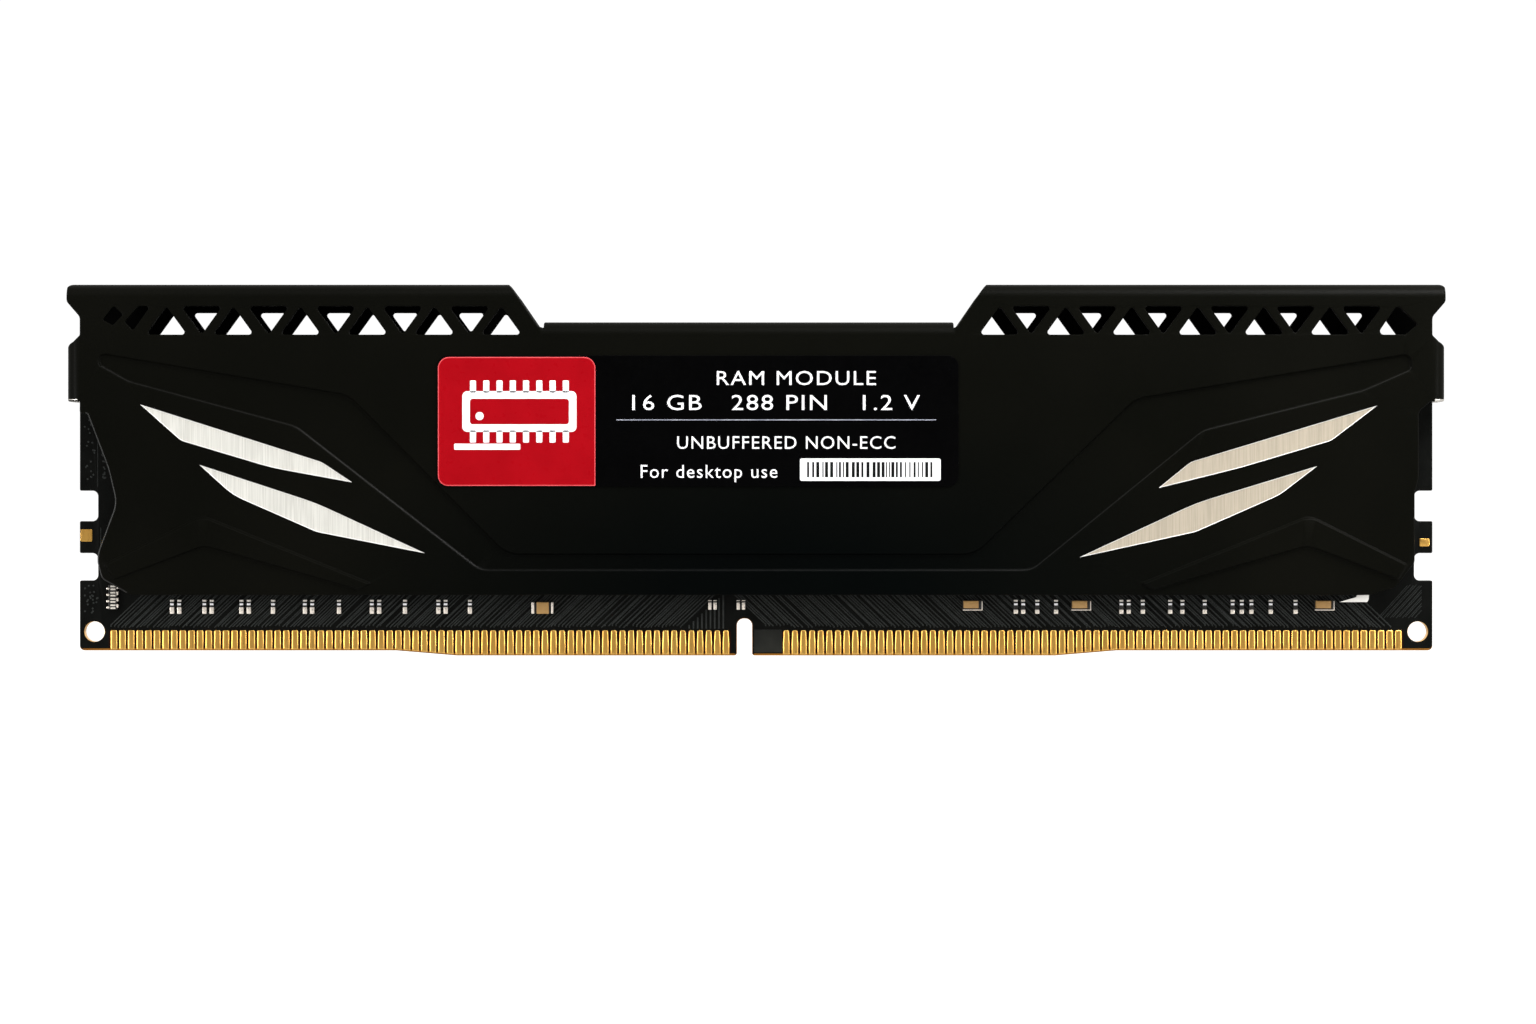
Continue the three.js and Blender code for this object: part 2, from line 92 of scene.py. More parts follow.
def map_range(tree, value, start, stop, low, high):
    """A node that turns a value between start and stop into one between low and high."""
    node = tree.nodes.new("ShaderNodeMapRange")
    ends = {"From Min": start, "From Max": stop, "To Min": low, "To Max": high}
    for name, number in ends.items():
        node.inputs[name].default_value = number
    tree.links.new(value, node.inputs["Value"])
    return node


class Nodes:
    """A principled material whose nodes are added one by one."""

    def __init__(self, name, colour, roughness, metallic=0.0, **sockets):
        self.material = bpy.data.materials.new(name)
        self.material.use_nodes = True
        self.tree = self.material.node_tree
        self.link = self.tree.links.new
        self.shader = self.tree.nodes["Principled BSDF"]
        self.shader.inputs["Base Color"].default_value = (*colour, 1)
        self.shader.inputs["Roughness"].default_value = roughness
        self.shader.inputs["Metallic"].default_value = metallic
        for socket, value in sockets.items():
            self.shader.inputs[socket.replace("_", " ")].default_value = value
        self.place = self.node("TexCoord").outputs["Object"]
        self.normal = None

    def node(self, kind):
        return self.tree.nodes.new("ShaderNode" + kind)

    def noise(self, per_mm, stretch=(1, 1, 1), detail=3.0):
        """Noise with that many features to the millimetre, stretched along an axis by less than 1."""
        mapping = self.node("Mapping")
        mapping.inputs["Scale"].default_value = [per_mm / MM * s for s in stretch]
        self.link(self.place, mapping.inputs["Vector"])
        texture = self.node("TexNoise")
        texture.inputs["Scale"].default_value = 1.0
        texture.inputs["Detail"].default_value = detail
        self.link(mapping.outputs["Vector"], texture.inputs["Vector"])
        return texture.outputs["Fac"]

    def ramp(self, value, low, high, start=0.3, stop=0.7):
        return map_range(self.tree, value, start, stop, low, high).outputs["Result"]

    def mottle(self, value, dark, light, start=0.3, stop=0.7):
        """Base colour that runs from dark to light with the value."""
        node = self.node("ValToRGB")
        node.color_ramp.elements[0].position = start
        node.color_ramp.elements[0].color = (*dark, 1)
        node.color_ramp.elements[1].position = stop
        node.color_ramp.elements[1].color = (*light, 1)
        self.link(value, node.inputs["Fac"])
        self.link(node.outputs["Color"], self.shader.inputs["Base Color"])

    def across(self, left, right):
        """0 left of one x, in millimetres, and 1 right of the other."""
        place = self.node("SeparateXYZ")
        self.link(self.place, place.inputs["Vector"])
        return self.ramp(place.outputs["X"], 0.0, 1.0, left * MM, right * MM)

    def away_from(self, x, z, half_width, half_height):
        """0 at a place on the front and 1 from an ellipse round it outwards."""
        mapping = self.node("Mapping")
        mapping.vector_type = "TEXTURE"
        mapping.inputs["Location"].default_value = (x * MM, 0, z * MM)
        mapping.inputs["Scale"].default_value = (half_width * MM, 1, half_height * MM)
        self.link(self.place, mapping.inputs["Vector"])
        length = self.node("VectorMath")
        length.operation = "LENGTH"
        self.link(mapping.outputs["Vector"], length.inputs[0])
        return self.ramp(length.outputs["Value"], 0.0, 1.0, 0.25, 1.0)

    def tint(self, share, first, second):
        """Multiplies the base colour by one that turns from first to second with the share."""
        tone, product = (self.node("Mix") for _ in range(2))
        tone.data_type = product.data_type = "RGBA"
        tone.inputs["A"].default_value = (*first, 1)
        tone.inputs["B"].default_value = (*second, 1)
        self.link(share, tone.inputs["Factor"])
        product.blend_type = "MULTIPLY"
        product.inputs["Factor"].default_value = 1.0
        base = self.shader.inputs["Base Color"]
        self.link(base.links[0].from_socket, product.inputs["A"])
        self.link(tone.outputs["Result"], product.inputs["B"])
        self.link(product.outputs["Result"], base)

    def roughen(self, value, low, high):
        self.link(self.ramp(value, low, high), self.shader.inputs["Roughness"])

    def bump(self, value, depth_mm, strength=1.0):
        """Adds surface relief of about that depth; calls stack."""
        node = self.node("Bump")
        node.inputs["Distance"].default_value = depth_mm * MM
        node.inputs["Strength"].default_value = strength
        self.link(value, node.inputs["Height"])
        if self.normal:
            self.link(self.normal, node.inputs["Normal"])
        self.normal = node.outputs["Normal"]
        self.link(self.normal, self.shader.inputs["Normal"])


def anodised(name, specular):
    """Satin black, with a painted dark, bluish reflection low down in the middle."""
    m = Nodes(name, (0.0024, 0.0025, 0.0017), 0.4, Specular_IOR_Level=specular)
    m.mottle(m.noise(0.06, detail=2), (0.0017, 0.0018, 0.0011), (0.0026, 0.0026, 0.0017))
    # Painted dark reflection: the base colour turns darker and bluer towards a place low in the middle.
    past_painted_reflection = m.away_from(3.0, 5.0, 48.0, 22.0)
    m.tint(past_painted_reflection, (0.1, 0.3, 0.45), (1.0, 1.0, 1.0))
    grain = m.noise(7.0, detail=4)
    m.roughen(grain, 0.36, 0.48)
    m.bump(grain, 0.006, 0.6)
    m.bump(m.noise(1.4, detail=2), 0.004, 0.4)
    return m.material


def machined():
    """Fine upright milling lines, with a painted reflection that is paler at the left and warmer at the
    right.
    """
    m = Nodes("machined_aluminium", (0.86, 0.84, 0.79), 0.38, 0.4, Anisotropic=0.35)
    lines = m.noise(12.0, (1, 1, 0.02), detail=1)
    m.mottle(lines, (0.69, 0.68, 0.65), (0.83, 0.82, 0.79), 0.35, 0.65)
    # Painted reflection: the base colour is paler at the left and warmer at the right.
    m.tint(m.across(-30.0, 30.0), (0.90, 0.90, 0.87), (0.62, 0.55, 0.45))
    m.roughen(lines, 0.32, 0.46)
    m.bump(lines, 0.004, 0.5)
    return m.material


def cut_edge():
    m = Nodes("raw_cut_aluminium", (0.62, 0.60, 0.56), 0.45, 1.0)
    shear = m.noise(6.0, (1, 0.1, 1))
    m.roughen(shear, 0.35, 0.6)
    m.bump(shear, 0.01, 0.5)
    return m.material


def solder_mask():
    m = Nodes("solder_mask", (0.005, 0.0052, 0.0045), 0.36, Specular_IOR_Level=0.06)
    m.mottle(m.noise(0.35, detail=5), (0.0018, 0.0020, 0.0017), (0.0036, 0.0039, 0.0034))
    m.roughen(m.noise(0.8), 0.30, 0.44)
    m.bump(m.noise(3.2, (1, 1, 0.8)), 0.012, 0.5)
    return m.material


def masked_copper():
    m = Nodes("copper_under_mask", (0.013, 0.0135, 0.012), 0.34, Specular_IOR_Level=0.2)
    m.mottle(m.noise(1.5), (0.014, 0.0158, 0.0150), (0.028, 0.0310, 0.0290))
    m.bump(m.noise(5.0), 0.004, 0.4)
    return m.material


def laminate():
    m = Nodes("laminate_edge", (0.36, 0.13, 0.012), 0.55, Specular_IOR_Level=0.1)
    layers = m.noise(2.2, (0.06, 3.0, 0.6), detail=4)
    m.mottle(layers, (0.20, 0.068, 0.003), (0.38, 0.155, 0.014))
    m.bump(layers, 0.01, 0.5)
    return m.material


def gold():
    m = Nodes("gold_plating", (0.92, 0.54, 0.11), 0.2, 1.0)
    m.mottle(m.noise(0.3, detail=2), (0.79, 0.43, 0.095), (0.86, 0.50, 0.120))
    wipes = m.noise(6.0, (1, 1, 0.05), detail=2)
    m.roughen(wipes, 0.26, 0.34)
    m.bump(wipes, 0.0006, 0.2)
    return m.material


def tin():
    m = Nodes("tinned_metal", (0.90, 0.82, 0.73), 0.3, 0.5)
    m.roughen(m.noise(6.0), 0.22, 0.42)
    m.bump(m.noise(5.0, detail=4), 0.01, 0.5)
    return m.material


def plastic(name, dark, light, roughness, per_mm, depth_mm, **sockets):
    """A plain finish: two close tones, uneven gloss and a fine grain."""
    m = Nodes(name, light, roughness, **sockets)
    m.mottle(m.noise(per_mm * 0.2), dark, light)
    grain = m.noise(per_mm, detail=4)
    m.roughen(grain, roughness * 0.85, roughness * 1.15)
    m.bump(grain, depth_mm, 0.5)
    return m.material


ANODISED = anodised("anodised_aluminium", 0.03)
# Painted highlight: a glossier copy of the anodised finish on the band's lower slope and the left bay's
# rim.
PAINTED_HIGHLIGHT_ANODISED = anodised("anodised_painted_highlight", 0.34)
# Painted shade: a darker, duller copy of the anodised finish on the spreaders' inner faces and the walls of
# the vents.
PAINTED_SHADE_ANODISED = plastic(
    "anodised_painted_shade_inside", (0.0006, 0.0006, 0.0005), (0.0012, 0.0012, 0.0010), 0.7, 3.0, 0.004,
    Specular_IOR_Level=0.02,
)
MACHINED = machined()
CUT_EDGE = cut_edge()
# Painted highlight: a pale, flat finish on the rims of the machined stripes.
RIM_HIGHLIGHT_PAINT = plastic("stripe_rim_painted_highlight", (0.72, 0.71, 0.69), (0.84, 0.83, 0.81), 0.4, 5.0, 0.002)
SOLDER_MASK = solder_mask()
MASKED_COPPER = masked_copper()
MASKED_AREA = plastic(
    "wide_copper_under_mask", (0.010, 0.0105, 0.0092), (0.017, 0.0175, 0.0150), 0.4, 3.0, 0.004,
    Specular_IOR_Level=0.1,
)
LAMINATE = laminate()
DARK_LAMINATE = plastic("dark_laminate", (0.006, 0.0055, 0.004), (0.012, 0.010, 0.007), 0.6, 4.0, 0.008)
DIM = {"Specular_IOR_Level": 0.05}
BARE_LAMINATE = plastic(
    "bare_laminate", (0.006, 0.0010, 0.0004), (0.013, 0.0028, 0.0008), 0.6, 4.0, 0.008, **DIM
)
GOLD = gold()
TIN = tin()
FILM = plastic(
    "black_label_film", (0.0002, 0.0002, 0.0003), (0.0005, 0.0005, 0.0006), 0.24, 1.5, 0.002, **DIM
)
RED_FILM = plastic("red_label_film", (0.28, 0.0014, 0.0048), (0.32, 0.0021, 0.0062), 0.3, 1.5, 0.002, **DIM)
# Painted highlight: a paler red for the border round the label's red block.
PAINTED_RED_HIGHLIGHT = plastic("red_film_painted_highlight", (0.60, 0.06, 0.07), (0.66, 0.09, 0.10), 0.4, 2.0, 0.001, **DIM)
INK = plastic("white_ink", (0.80, 0.80, 0.82), (0.88, 0.88, 0.90), 0.45, 4.0, 0.001, **DIM)
GREY_INK = plastic("grey_ink", (0.20, 0.21, 0.26), (0.34, 0.35, 0.40), 0.45, 4.0, 0.001, **DIM)
BLACK_INK = plastic("black_ink", (0.004, 0.004, 0.004), (0.008, 0.008, 0.008), 0.5, 4.0, 0.001, **DIM)
# Black glaze of the chip bodies; the capacitors use it too, as painted shadow in their gaps.
GLAZE_AND_SHADOW = plastic("black_glaze_and_painted_shadow", (0.008, 0.007, 0.006), (0.014, 0.012, 0.010), 0.35, 6.0, 0.004)
ALUMINA = plastic("alumina_ceramic", (0.62, 0.58, 0.52), (0.74, 0.70, 0.64), 0.5, 5.0, 0.004)
TITANATE = plastic("capacitor_ceramic", (0.30, 0.165, 0.048), (0.40, 0.235, 0.080), 0.45, 5.0, 0.006)
MOULD = plastic("mould_compound", (0.010, 0.010, 0.011), (0.018, 0.018, 0.019), 0.62, 6.0, 0.012)
SILICONE = plastic("thermal_silicone", (0.17, 0.21, 0.29), (0.24, 0.29, 0.38), 0.85, 3.0, 0.02)
PAPER = plastic("paper", (0.84, 0.81, 0.76), (0.95, 0.93, 0.89), 0.75, 5.0, 0.01)

# ---- outlines and meshes ---------------------------------

DEGREES_PER_STEP = 11


def loop(corners, inset=0.0):
    """Closed ring of points from (x, z, radius) corners, moved inwards by inset, corners as arcs."""
    turn = sum(a[0] * b[1] - b[0] * a[1] for a, b in zip(corners, corners[1:] + corners[:1]))
    corners = list(corners) if turn > 0 else list(reversed(corners))
    points = [Vector(c[:2]) for c in corners]
    radii = [c[2] if len(c) > 2 else 0.0 for c in corners]
    count = len(points)
    ahead = [(points[(i + 1) % count] - points[i]).normalized() for i in range(count)]
    ring = []
    for i in range(count):
        before, after = ahead[i - 1], ahead[i]
        angle = math.atan2(before.cross(after), before.dot(after))
        inward = Vector((-before.y - after.y, before.x + after.x)).normalized()
        corner = points[i] + inward * (inset / math.cos(angle / 2))
        radius = max(radii[i] - inset, 0.004) if angle > 0 else radii[i] + max(inset, 0.0)
        if abs(angle) < 1e-3 or radii[i] == 0:
            ring.append(tuple(corner))
            continue
        run = radius * math.tan(abs(angle) / 2)
        centre = corner + inward * math.copysign(radius / math.cos(angle / 2), angle)
        spoke = corner - before * run - centre
        steps = max(2, math.ceil(abs(math.degrees(angle)) / DEGREES_PER_STEP))
        for k in range(steps + 1):
            a = angle * k / steps
            turned = (
                spoke.x * math.cos(a) - spoke.y * math.sin(a),
                spoke.x * math.sin(a) + spoke.y * math.cos(a),
            )
            ring.append((centre.x + turned[0], centre.y + turned[1]))
    return ring


def rectangle(x0, z0, x1, z1, corner=0.0):
    return [(x0, z0, corner), (x1, z0, corner), (x1, z1, corner), (x0, z1, corner)]


def centred(x, z, width, height, corner=0.0):
    return rectangle(x - width / 2, z - height / 2, x + width / 2, z + height / 2, corner)


def mirrored(corners):
    return [(-c[0], *c[1:]) for c in reversed(corners)]


def smooth(t):
    t = min(max(t, 0.0), 1.0)
    return t * t * (3 - 2 * t)


def inside(points, ring):
    """Which of the points lie inside a closed ring."""
    x, z = points[:, 0], points[:, 1]
    hit = np.zeros(len(points), bool)
    for (x0, z0), (x1, z1) in zip(ring, ring[1:] + ring[:1]):
        if z0 != z1:
            hit ^= ((z0 > z) != (z1 > z)) & (x < (x1 - x0) * (z - z0) / (z1 - z0) + x0)
    return hit


class Piece:
    """Collects the closed bodies of one piece, in millimetres, then makes the object."""

    def __init__(self, name, materials, slot, side=1):
        self.name, self.materials, self.slot, self.side = name, materials, slot, side
        self.points, self.faces, self.indices = [], [], []

    def add(self, points, faces, index=0):
        start = len(self.points)
        self.points += [(x, y * self.side, z) for x, y, z in points]
        self.faces += [[start + i for i in face] for face in faces]
        self.indices += index if isinstance(index, list) else [index] * len(faces)

    def raised(self, corners, profile, index=0, base=0.0, place=None):
        """A pad that stands out from y = -base; profile is (inset, height) from foot to top."""
        place = place or (lambda x, z, height: (x, -base - height, z))
        rings = [[(*p, height) for p in loop(corners, inset)] for inset, height in profile]
        count = len(rings[0])
        points = [place(*p) for ring in rings for p in ring]
        faces = [list(range(count))[::-1], [len(points) - count + i for i in range(count)]]
        for r in range(len(rings) - 1):
            for i in range(count):
                a, b = r * count + i, r * count + (i + 1) % count
                faces.append([a, b, b + count, a + count])
        self.add(points, faces, index)

    def block(self, corners, base, rise, edge, index=0):
        """A pad with a rounded top edge."""
        profile = [(0, 0), (0, rise - edge), (edge * 0.3, rise - edge * 0.3), (edge, rise)]
        self.raised(corners, profile, index, base)

    def make(self, replaces=(), sharp=38):
        mesh = bpy.data.meshes.new(self.name)
        mesh.from_pydata([[c * MM for c in p] for p in self.points], [], self.faces)
        for material in self.materials:
            mesh.materials.append(material)
        mesh.polygons.foreach_set("material_index", self.indices)
        shape = bmesh.new()
        shape.from_mesh(mesh)
        bmesh.ops.recalc_face_normals(shape, faces=shape.faces)
        shape.to_mesh(mesh)
        shape.free()
        mesh.shade_smooth()
        mesh.set_sharp_from_angle(angle=math.radians(sharp))
        piece = bpy.data.objects.new(self.name, mesh)
        bpy.context.collection.objects.link(piece)
        weigh = piece.modifiers.new("weighted_normals", "WEIGHTED_NORMAL")
        weigh.keep_sharp = True
        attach(piece, "root")
        if replaces:
            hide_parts(*replaces)
        return piece


# Edge shapes, as (share of the way out, share of the way down) from the outer face.
ROUND = [(math.sin(t), 1 - math.cos(t)) for t in map(math.radians, (30, 60, 90))]
BROKEN = [(0.7, 0.3), (1.0, 1.0)]
BEVELLED = [(0.5, 0.5), (1.0, 1.0)]


def plate(piece, borders, features, lines, place, thickness, edge, zones=(), back=0):
    """A sheet with finished edges, laid out flat as (x, z); place turns (x, z, depth) into a point.

    borders are (ring, rim) pairs, the outline first and then the holes: the outer face ends at
    ring and the edge stands out to rim. features are (ring, height) contours of the outer face,
    lines are extra rows of points, and zones are (ring, material index) patches. edge gives the
    edge's shape and the material indices of its rim and its wall, from its outward direction and
    its place. back is the material index of the inner face.
    """
    points, edges, heights, rims = [], [], [], {}

    def draw(ring, height, closed=True):
        start = len(points)
        points.extend(Vector(p) for p in ring)
        heights.extend([height] * len(ring))
        last = len(ring) if closed else len(ring) - 1
        edges.extend((start + i, start + (i + 1) % len(ring)) for i in range(last))

    for ring, rim in borders:
        rims.update({len(points) + i: Vector(p) for i, p in enumerate(rim)})
        draw(ring, 0.0)
    for ring, height in features:
        draw(ring, height)
    for line in lines:
        draw(line, 0.0, closed=False)
    verts, _, triangles, origins, _, _ = delaunay_2d_cdt(points, edges, [], 0, 1e-5)
    flat = np.array([tuple(v) for v in verts])
    centres = flat[np.array(triangles)].mean(axis=1)
    keep = inside(centres, borders[0][0])
    for ring, _ in borders[1:]:
        keep &= ~inside(centres, ring)
    zone = np.zeros(len(centres), int)
    for ring, value in zones:
        zone[inside(centres, ring)] = value
    index = [int(i) for i, kept in zip(zone, keep) if kept]
    triangles = [list(t) for t, kept in zip(triangles, keep) if kept]
    used = sorted({i for t in triangles for i in t})
    renumber = {old: new for new, old in enumerate(used)}
    triangles = [[renumber[i] for i in t] for t in triangles]
    rise = [heights[origins[i][0]] if origins[i] else 0.0 for i in used]
    out = [next((rims[o] for o in origins[i] if o in rims), None) for i in used]
    flat = [Vector(flat[i]) for i in used]
    count = len(flat)
    outer = [place(*p, -h) for p, h in zip(flat, rise)]
    inner = [place(*p, thickness) for p in flat]
    faces = triangles + [[count + i for i in reversed(t)] for t in triangles]
    index += [back] * len(triangles)
    sides = {(t[k], t[(k + 1) % 3]) for t in triangles for k in range(3)}
    ahead = {a: b for a, b in sides if (b, a) not in sides}
    behind = {b: a for a, b in ahead.items()}
    over, number, made_of = [], {}, {}
    for a in ahead:
        offset = rim_of(a, ahead, behind, flat, out) - flat[a]
        shape, *made_of[a] = edge(offset.normalized(), flat[a])
        row = [(flat[a] + offset * share, offset.length * down) for share, down in shape]
        row += [(p, thickness - depth) for p, depth in reversed(row)]
        first = 2 * count + len(over)
        number[a] = [a, *range(first, first + len(row)), count + a]
        over += [place(*p, depth) for p, depth in row]
    for a, b in ahead.items():
        for k in range(len(number[a]) - 1):
            faces.append([number[a][k], number[b][k], number[b][k + 1], number[a][k + 1]])
            index.append(made_of[a][k >= len(shape)])
    piece.add(outer + inner + over, faces, index)


def rim_of(here, ahead, behind, flat, out):
    """Where the edge stands out to; a point made by a crossing line lies between its neighbours'."""
    if out[here] is not None:
        return out[here]
    before, after = behind[here], ahead[here]
    while out[before] is None:
        before = behind[before]
    while out[after] is None:
        after = ahead[after]
    share = (flat[here] - flat[before]).length / (flat[after] - flat[before]).length
    return out[before].lerp(out[after], share)


# ---- heat spreaders --------------------------------------

SPREADER_LOOK = [ANODISED, MACHINED, CUT_EDGE, PAINTED_SHADE_ANODISED, PAINTED_HIGHLIGHT_ANODISED, RIM_HIGHLIGHT_PAINT]
BLACK, BARE, RAW, PAINTED_SHADE, PAINTED_HIGHLIGHT, STRIPE_RIM_HIGHLIGHT = range(len(SPREADER_LOOK))

def fold(run):
    """(advance, set back, angle) on the outer face at a distance past the start of a fold."""
    if run <= 0:
        return run, 0.0, 0.0
    if run < ARC:
        angle = run / BEND
        return BEND * math.sin(angle), BEND * (1 - math.cos(angle)), angle
    return BEND, BEND + run - ARC, math.pi / 2


def on_spreader(x, z, depth):
    """Folds the flat layout of a spreader into its place on the front."""
    in_saddle = SADDLE_LEFT - 0.5 < x < SADDLE_RIGHT + 0.3
    if in_saddle and z > SADDLE_TOP - BEND:
        start = SADDLE_TOP - BEND
        share = smooth((x - SADDLE_LEFT + 0.5) / 0.5) * smooth((SADDLE_RIGHT + 0.3 - x) / 0.3)
    elif z > WING_TOP - BEND:
        start, share = WING_TOP - BEND, 1.0
    elif abs(x) > WAIST and TAB_LOW - 0.5 < z < 32.5:
        side = math.copysign(1, x)
        advance, back, angle = fold(abs(x) - WAIST)
        across = WAIST + advance - depth * math.sin(angle)
        return side * across, -FACE + back + depth * math.cos(angle), z
    else:
        return x, -FACE + depth, z
    advance, back, angle = fold(z - start)
    up = start + advance - depth * math.sin(angle)
    out = -FACE + back + depth * math.cos(angle)
    return x, out * share + (-FACE + depth) * (1 - share), up * share + z * (1 - share)


def ear_slope(foot, top):
    """Flat points of the slope from the saddle to a wing's rim, straight when seen from the front."""
    points = []
    for k in range(9):
        angle = math.pi / 2 * k / 8
        height = WING_TOP - BEND + BEND * math.sin(angle)
        share = (height - SADDLE_RELIEF) / (WING_TOP - SADDLE_RELIEF)
        points.append((foot + (top - foot) * share, WING_TOP - BEND + BEND * angle, 0.0))
    return points


def spreader_outline():
    """The spreader's sheet laid out flat, with its flanges and tabs unfolded."""
    rim_end = WING_TOP - BEND + ARC + FLANGE
    saddle_end = SADDLE_TOP - BEND + ARC + FLANGE
    tab_end = WAIST + ARC + FLANGE
    left_foot, right_foot = SADDLE_LEFT - 0.5, SADDLE_RIGHT + 0.3
    ear_left, ear_right = left_foot - EAR_RUN, right_foot + EAR_RUN
    tab_left = [
        (-WAIST, 31.5, 0.3), (-WAIST - 0.7, 30.9, 0.3), (-WAIST - 1.9, TAB_HIGH, 0.5),
        (-tab_end, TAB_HIGH, 0.3), (-tab_end, TAB_LOW, 0.25), (-WAIST, TAB_LOW, 0.0),
    ]
    return [
        (-61.4, FOOT, 1.5), (60.2, FOOT, 1.5), (62.7, 6.75, 1.0), (64.6, 9.2, 0.8),
        (64.6, 16.0, 1.5), (65.0, 17.5, 1.5), (65.0, 24.0, 0.8), (WAIST - 0.2, TAB_LOW, 0.2),
        *[(-x, z, r) for x, z, r in reversed(tab_left)],
        (WAIST, 33.3, 0.7), (END, 34.8, 0.6), (END, WING_TOP, 0.8), (END - 0.4, 37.2, 0.8),
        (END - 0.4, rim_end, 0.3), (ear_right, rim_end, 0.3), *ear_slope(right_foot, ear_right)[::-1],
        (right_foot, SADDLE_RELIEF, 0.12), (SADDLE_RIGHT, SADDLE_RELIEF, 0.08),
        (SADDLE_RIGHT, saddle_end, 0.3), (SADDLE_LEFT, saddle_end, 0.3),
        (SADDLE_LEFT, SADDLE_RELIEF, 0.08), (left_foot, SADDLE_RELIEF, 0.2),
        *ear_slope(left_foot, ear_left), (ear_left, rim_end, 0.3), (-END + 0.4, rim_end, 0.3),
        (-END + 0.4, 37.2, 0.8), (-END, WING_TOP, 0.8), (-END, 34.8, 0.6), (-WAIST, 33.3, 0.7),
        *tab_left, (-WAIST, 23.9, 0.2), (-65.6, 23.8, 0.3), (-63.55, 18.4, 8.0),
        (-62.75, 15.0, 3.0), (-64.75, 9.7, 3.0), (-64.2, 7.6, 1.0),
    ]


SUNKEN_BAND = [
    (-64.6, 29.9, 0.7), (-39.9, 25.75, 3.0), (-24.4, 10.15, 3.0), (21.4, 10.15, 3.0),
    (37.2, 25.4, 3.0), (64.4, 29.85, 0.9), (64.4, 28.0, 0.6), (59.6, 25.9, 4.0),
    (43.9, 22.0, 3.0), (27.1, 8.3, 2.5), (-27.1, 8.3, 2.5), (-45.2, 22.4, 3.0),
    (-61.6, 26.8, 3.0), (-64.6, 28.5, 0.6),
]
RAISED_RIB = [
    (39.0, 6.4, 0.3), (54.1, 10.7, 2.0), (63.0, 7.35, 0.4), (64.1, 9.0, 0.4),
    (54.3, 13.9, 2.0), (37.5, 7.15, 0.2),
]
# Takes in the band's upper slope, so that the painted highlight stays on its lower one only.
ABOVE_BAND = [
    (-70.0, 29.2), (-61.0, 28.0), (-41.0, 24.0), (-25.8, 9.2), (25.8, 9.2), (40.0, 24.0),
    (61.0, 28.0), (70.0, 29.2), (70.0, 45.0), (-70.0, 45.0),
]


def stripes(hand):
    """The two machined stripes of a side, drawn on the right; the left ones are a little shorter."""
    if hand > 0:
        tips = (60.94, 24.6), (39.47, 16.5), (55.03, 18.65), (31.7, 9.7)
    else:
        tips = (60.4, 24.7), (39.6, 17.05), (54.6, 18.78), (32.45, 10.1)
    return [
        [
            (*tips[0], 0.01), (42.6, 19.05, 2.0), (*tips[1], 0.02), (47.5, 18.5, 20.0),
            (56.4, 21.15, 1.5),
        ],
        [
            (*tips[2], 0.01), (43.2, 15.05, 20.0), (*tips[3], 0.01), (43.1, 12.2, 3.0),
            (51.3, 15.8, 6.0),
        ],
    ]


END_VENTS = [
    [(-64.1, 33.0, 0.15), (-63.1, 32.45, 0.2), (-62.1, 33.5, 0.2), (-63.0, 34.4, 0.2)],
    [(-61.95, 32.8, 0.2), (-61.1, 31.95, 0.2), (-59.4, 34.35, 0.25), (-60.6, 34.35, 0.25)],
    [(60.9, 31.55, 0.35), (63.7, 31.55, 0.4), (64.9, 32.55, 0.2), (62.9, 34.5, 0.45)],
]


def truss_triangle(x, points_up, drop, trim):
    """A vent; drop lowers it, and trim makes it smaller with its sides kept parallel."""
    half = TRUSS_HALF - trim
    rise = (TRUSS_HIGH - TRUSS_LOW) * half / TRUSS_HALF
    base, tip = (TRUSS_LOW, TRUSS_LOW + rise) if points_up else (TRUSS_HIGH, TRUSS_HIGH - rise)
    corners = [(x - half, base, 0.25), (x, tip, 0.25), (x + half, base, 0.25)]
    return [(cx, cz - drop, r) for cx, cz, r in corners]


def truss_holes(rear):
    """Vents under each wing; the rear ones sit lower, with narrower inverted ones and no end vents."""
    drop, trim, lean = (0.45, 0.6, 3.45) if rear else (0.0, 0.0, TRUSS_LEAN)
    starts = (-24.85, 23.15) if rear else (-25.0, 23.9)
    wings = ((starts[0], -6.57, -1, 6, 5), (starts[1], 6.48, 1, 7 if rear else 6, 6))
    holes = []
    for first, step, side, ups, downs in wings:
        for i in range(ups):
            holes.append(truss_triangle(first + i * step, True, drop, 0.0))
        for i in range(downs):
            holes.append(truss_triangle(first + i * step + side * lean, False, drop, trim))
    if not rear:
        holes += END_VENTS
    return holes


def ramp_rings(corners, rise):
    """Contours of a smooth slope along an outline, from the face to the given rise."""
    steps = 6
    shares = [k / steps for k in range(steps + 1)]
    return [(loop(corners, RAMP * share), rise * smooth(share)) for share in shares]


def fold_lines():
    """Rows of points round each fold of the flat layout."""
    lines = []
    for k in range(10):
        run = ARC * k / 9
        wing, saddle, tab = WING_TOP - BEND + run, SADDLE_TOP - BEND + run, WAIST + run
        lines.append([(-END - 0.5, wing), (SADDLE_LEFT - 1, wing)])
        lines.append([(SADDLE_RIGHT + 1, wing), (END + 0.5, wing)])
        past = 0.5 if saddle < SADDLE_RELIEF else -0.01
        lines.append([(SADDLE_LEFT - past, saddle), (SADDLE_RIGHT + min(past, 0.3), saddle)])
        lines += [[(side * tab, TAB_LOW - 0.5), (side * tab, 31.7)] for side in (-1, 1)]
    for k in range(5):
        x = SADDLE_LEFT - 0.5 + k * 0.125
        lines.append([(x, SADDLE_TOP - BEND), (x, SADDLE_RELIEF + 0.1)])
        x = SADDLE_RIGHT + 0.3 - k * 0.075
        lines.append([(x, SADDLE_TOP - BEND), (x, SADDLE_RELIEF + 0.1)])
    return lines


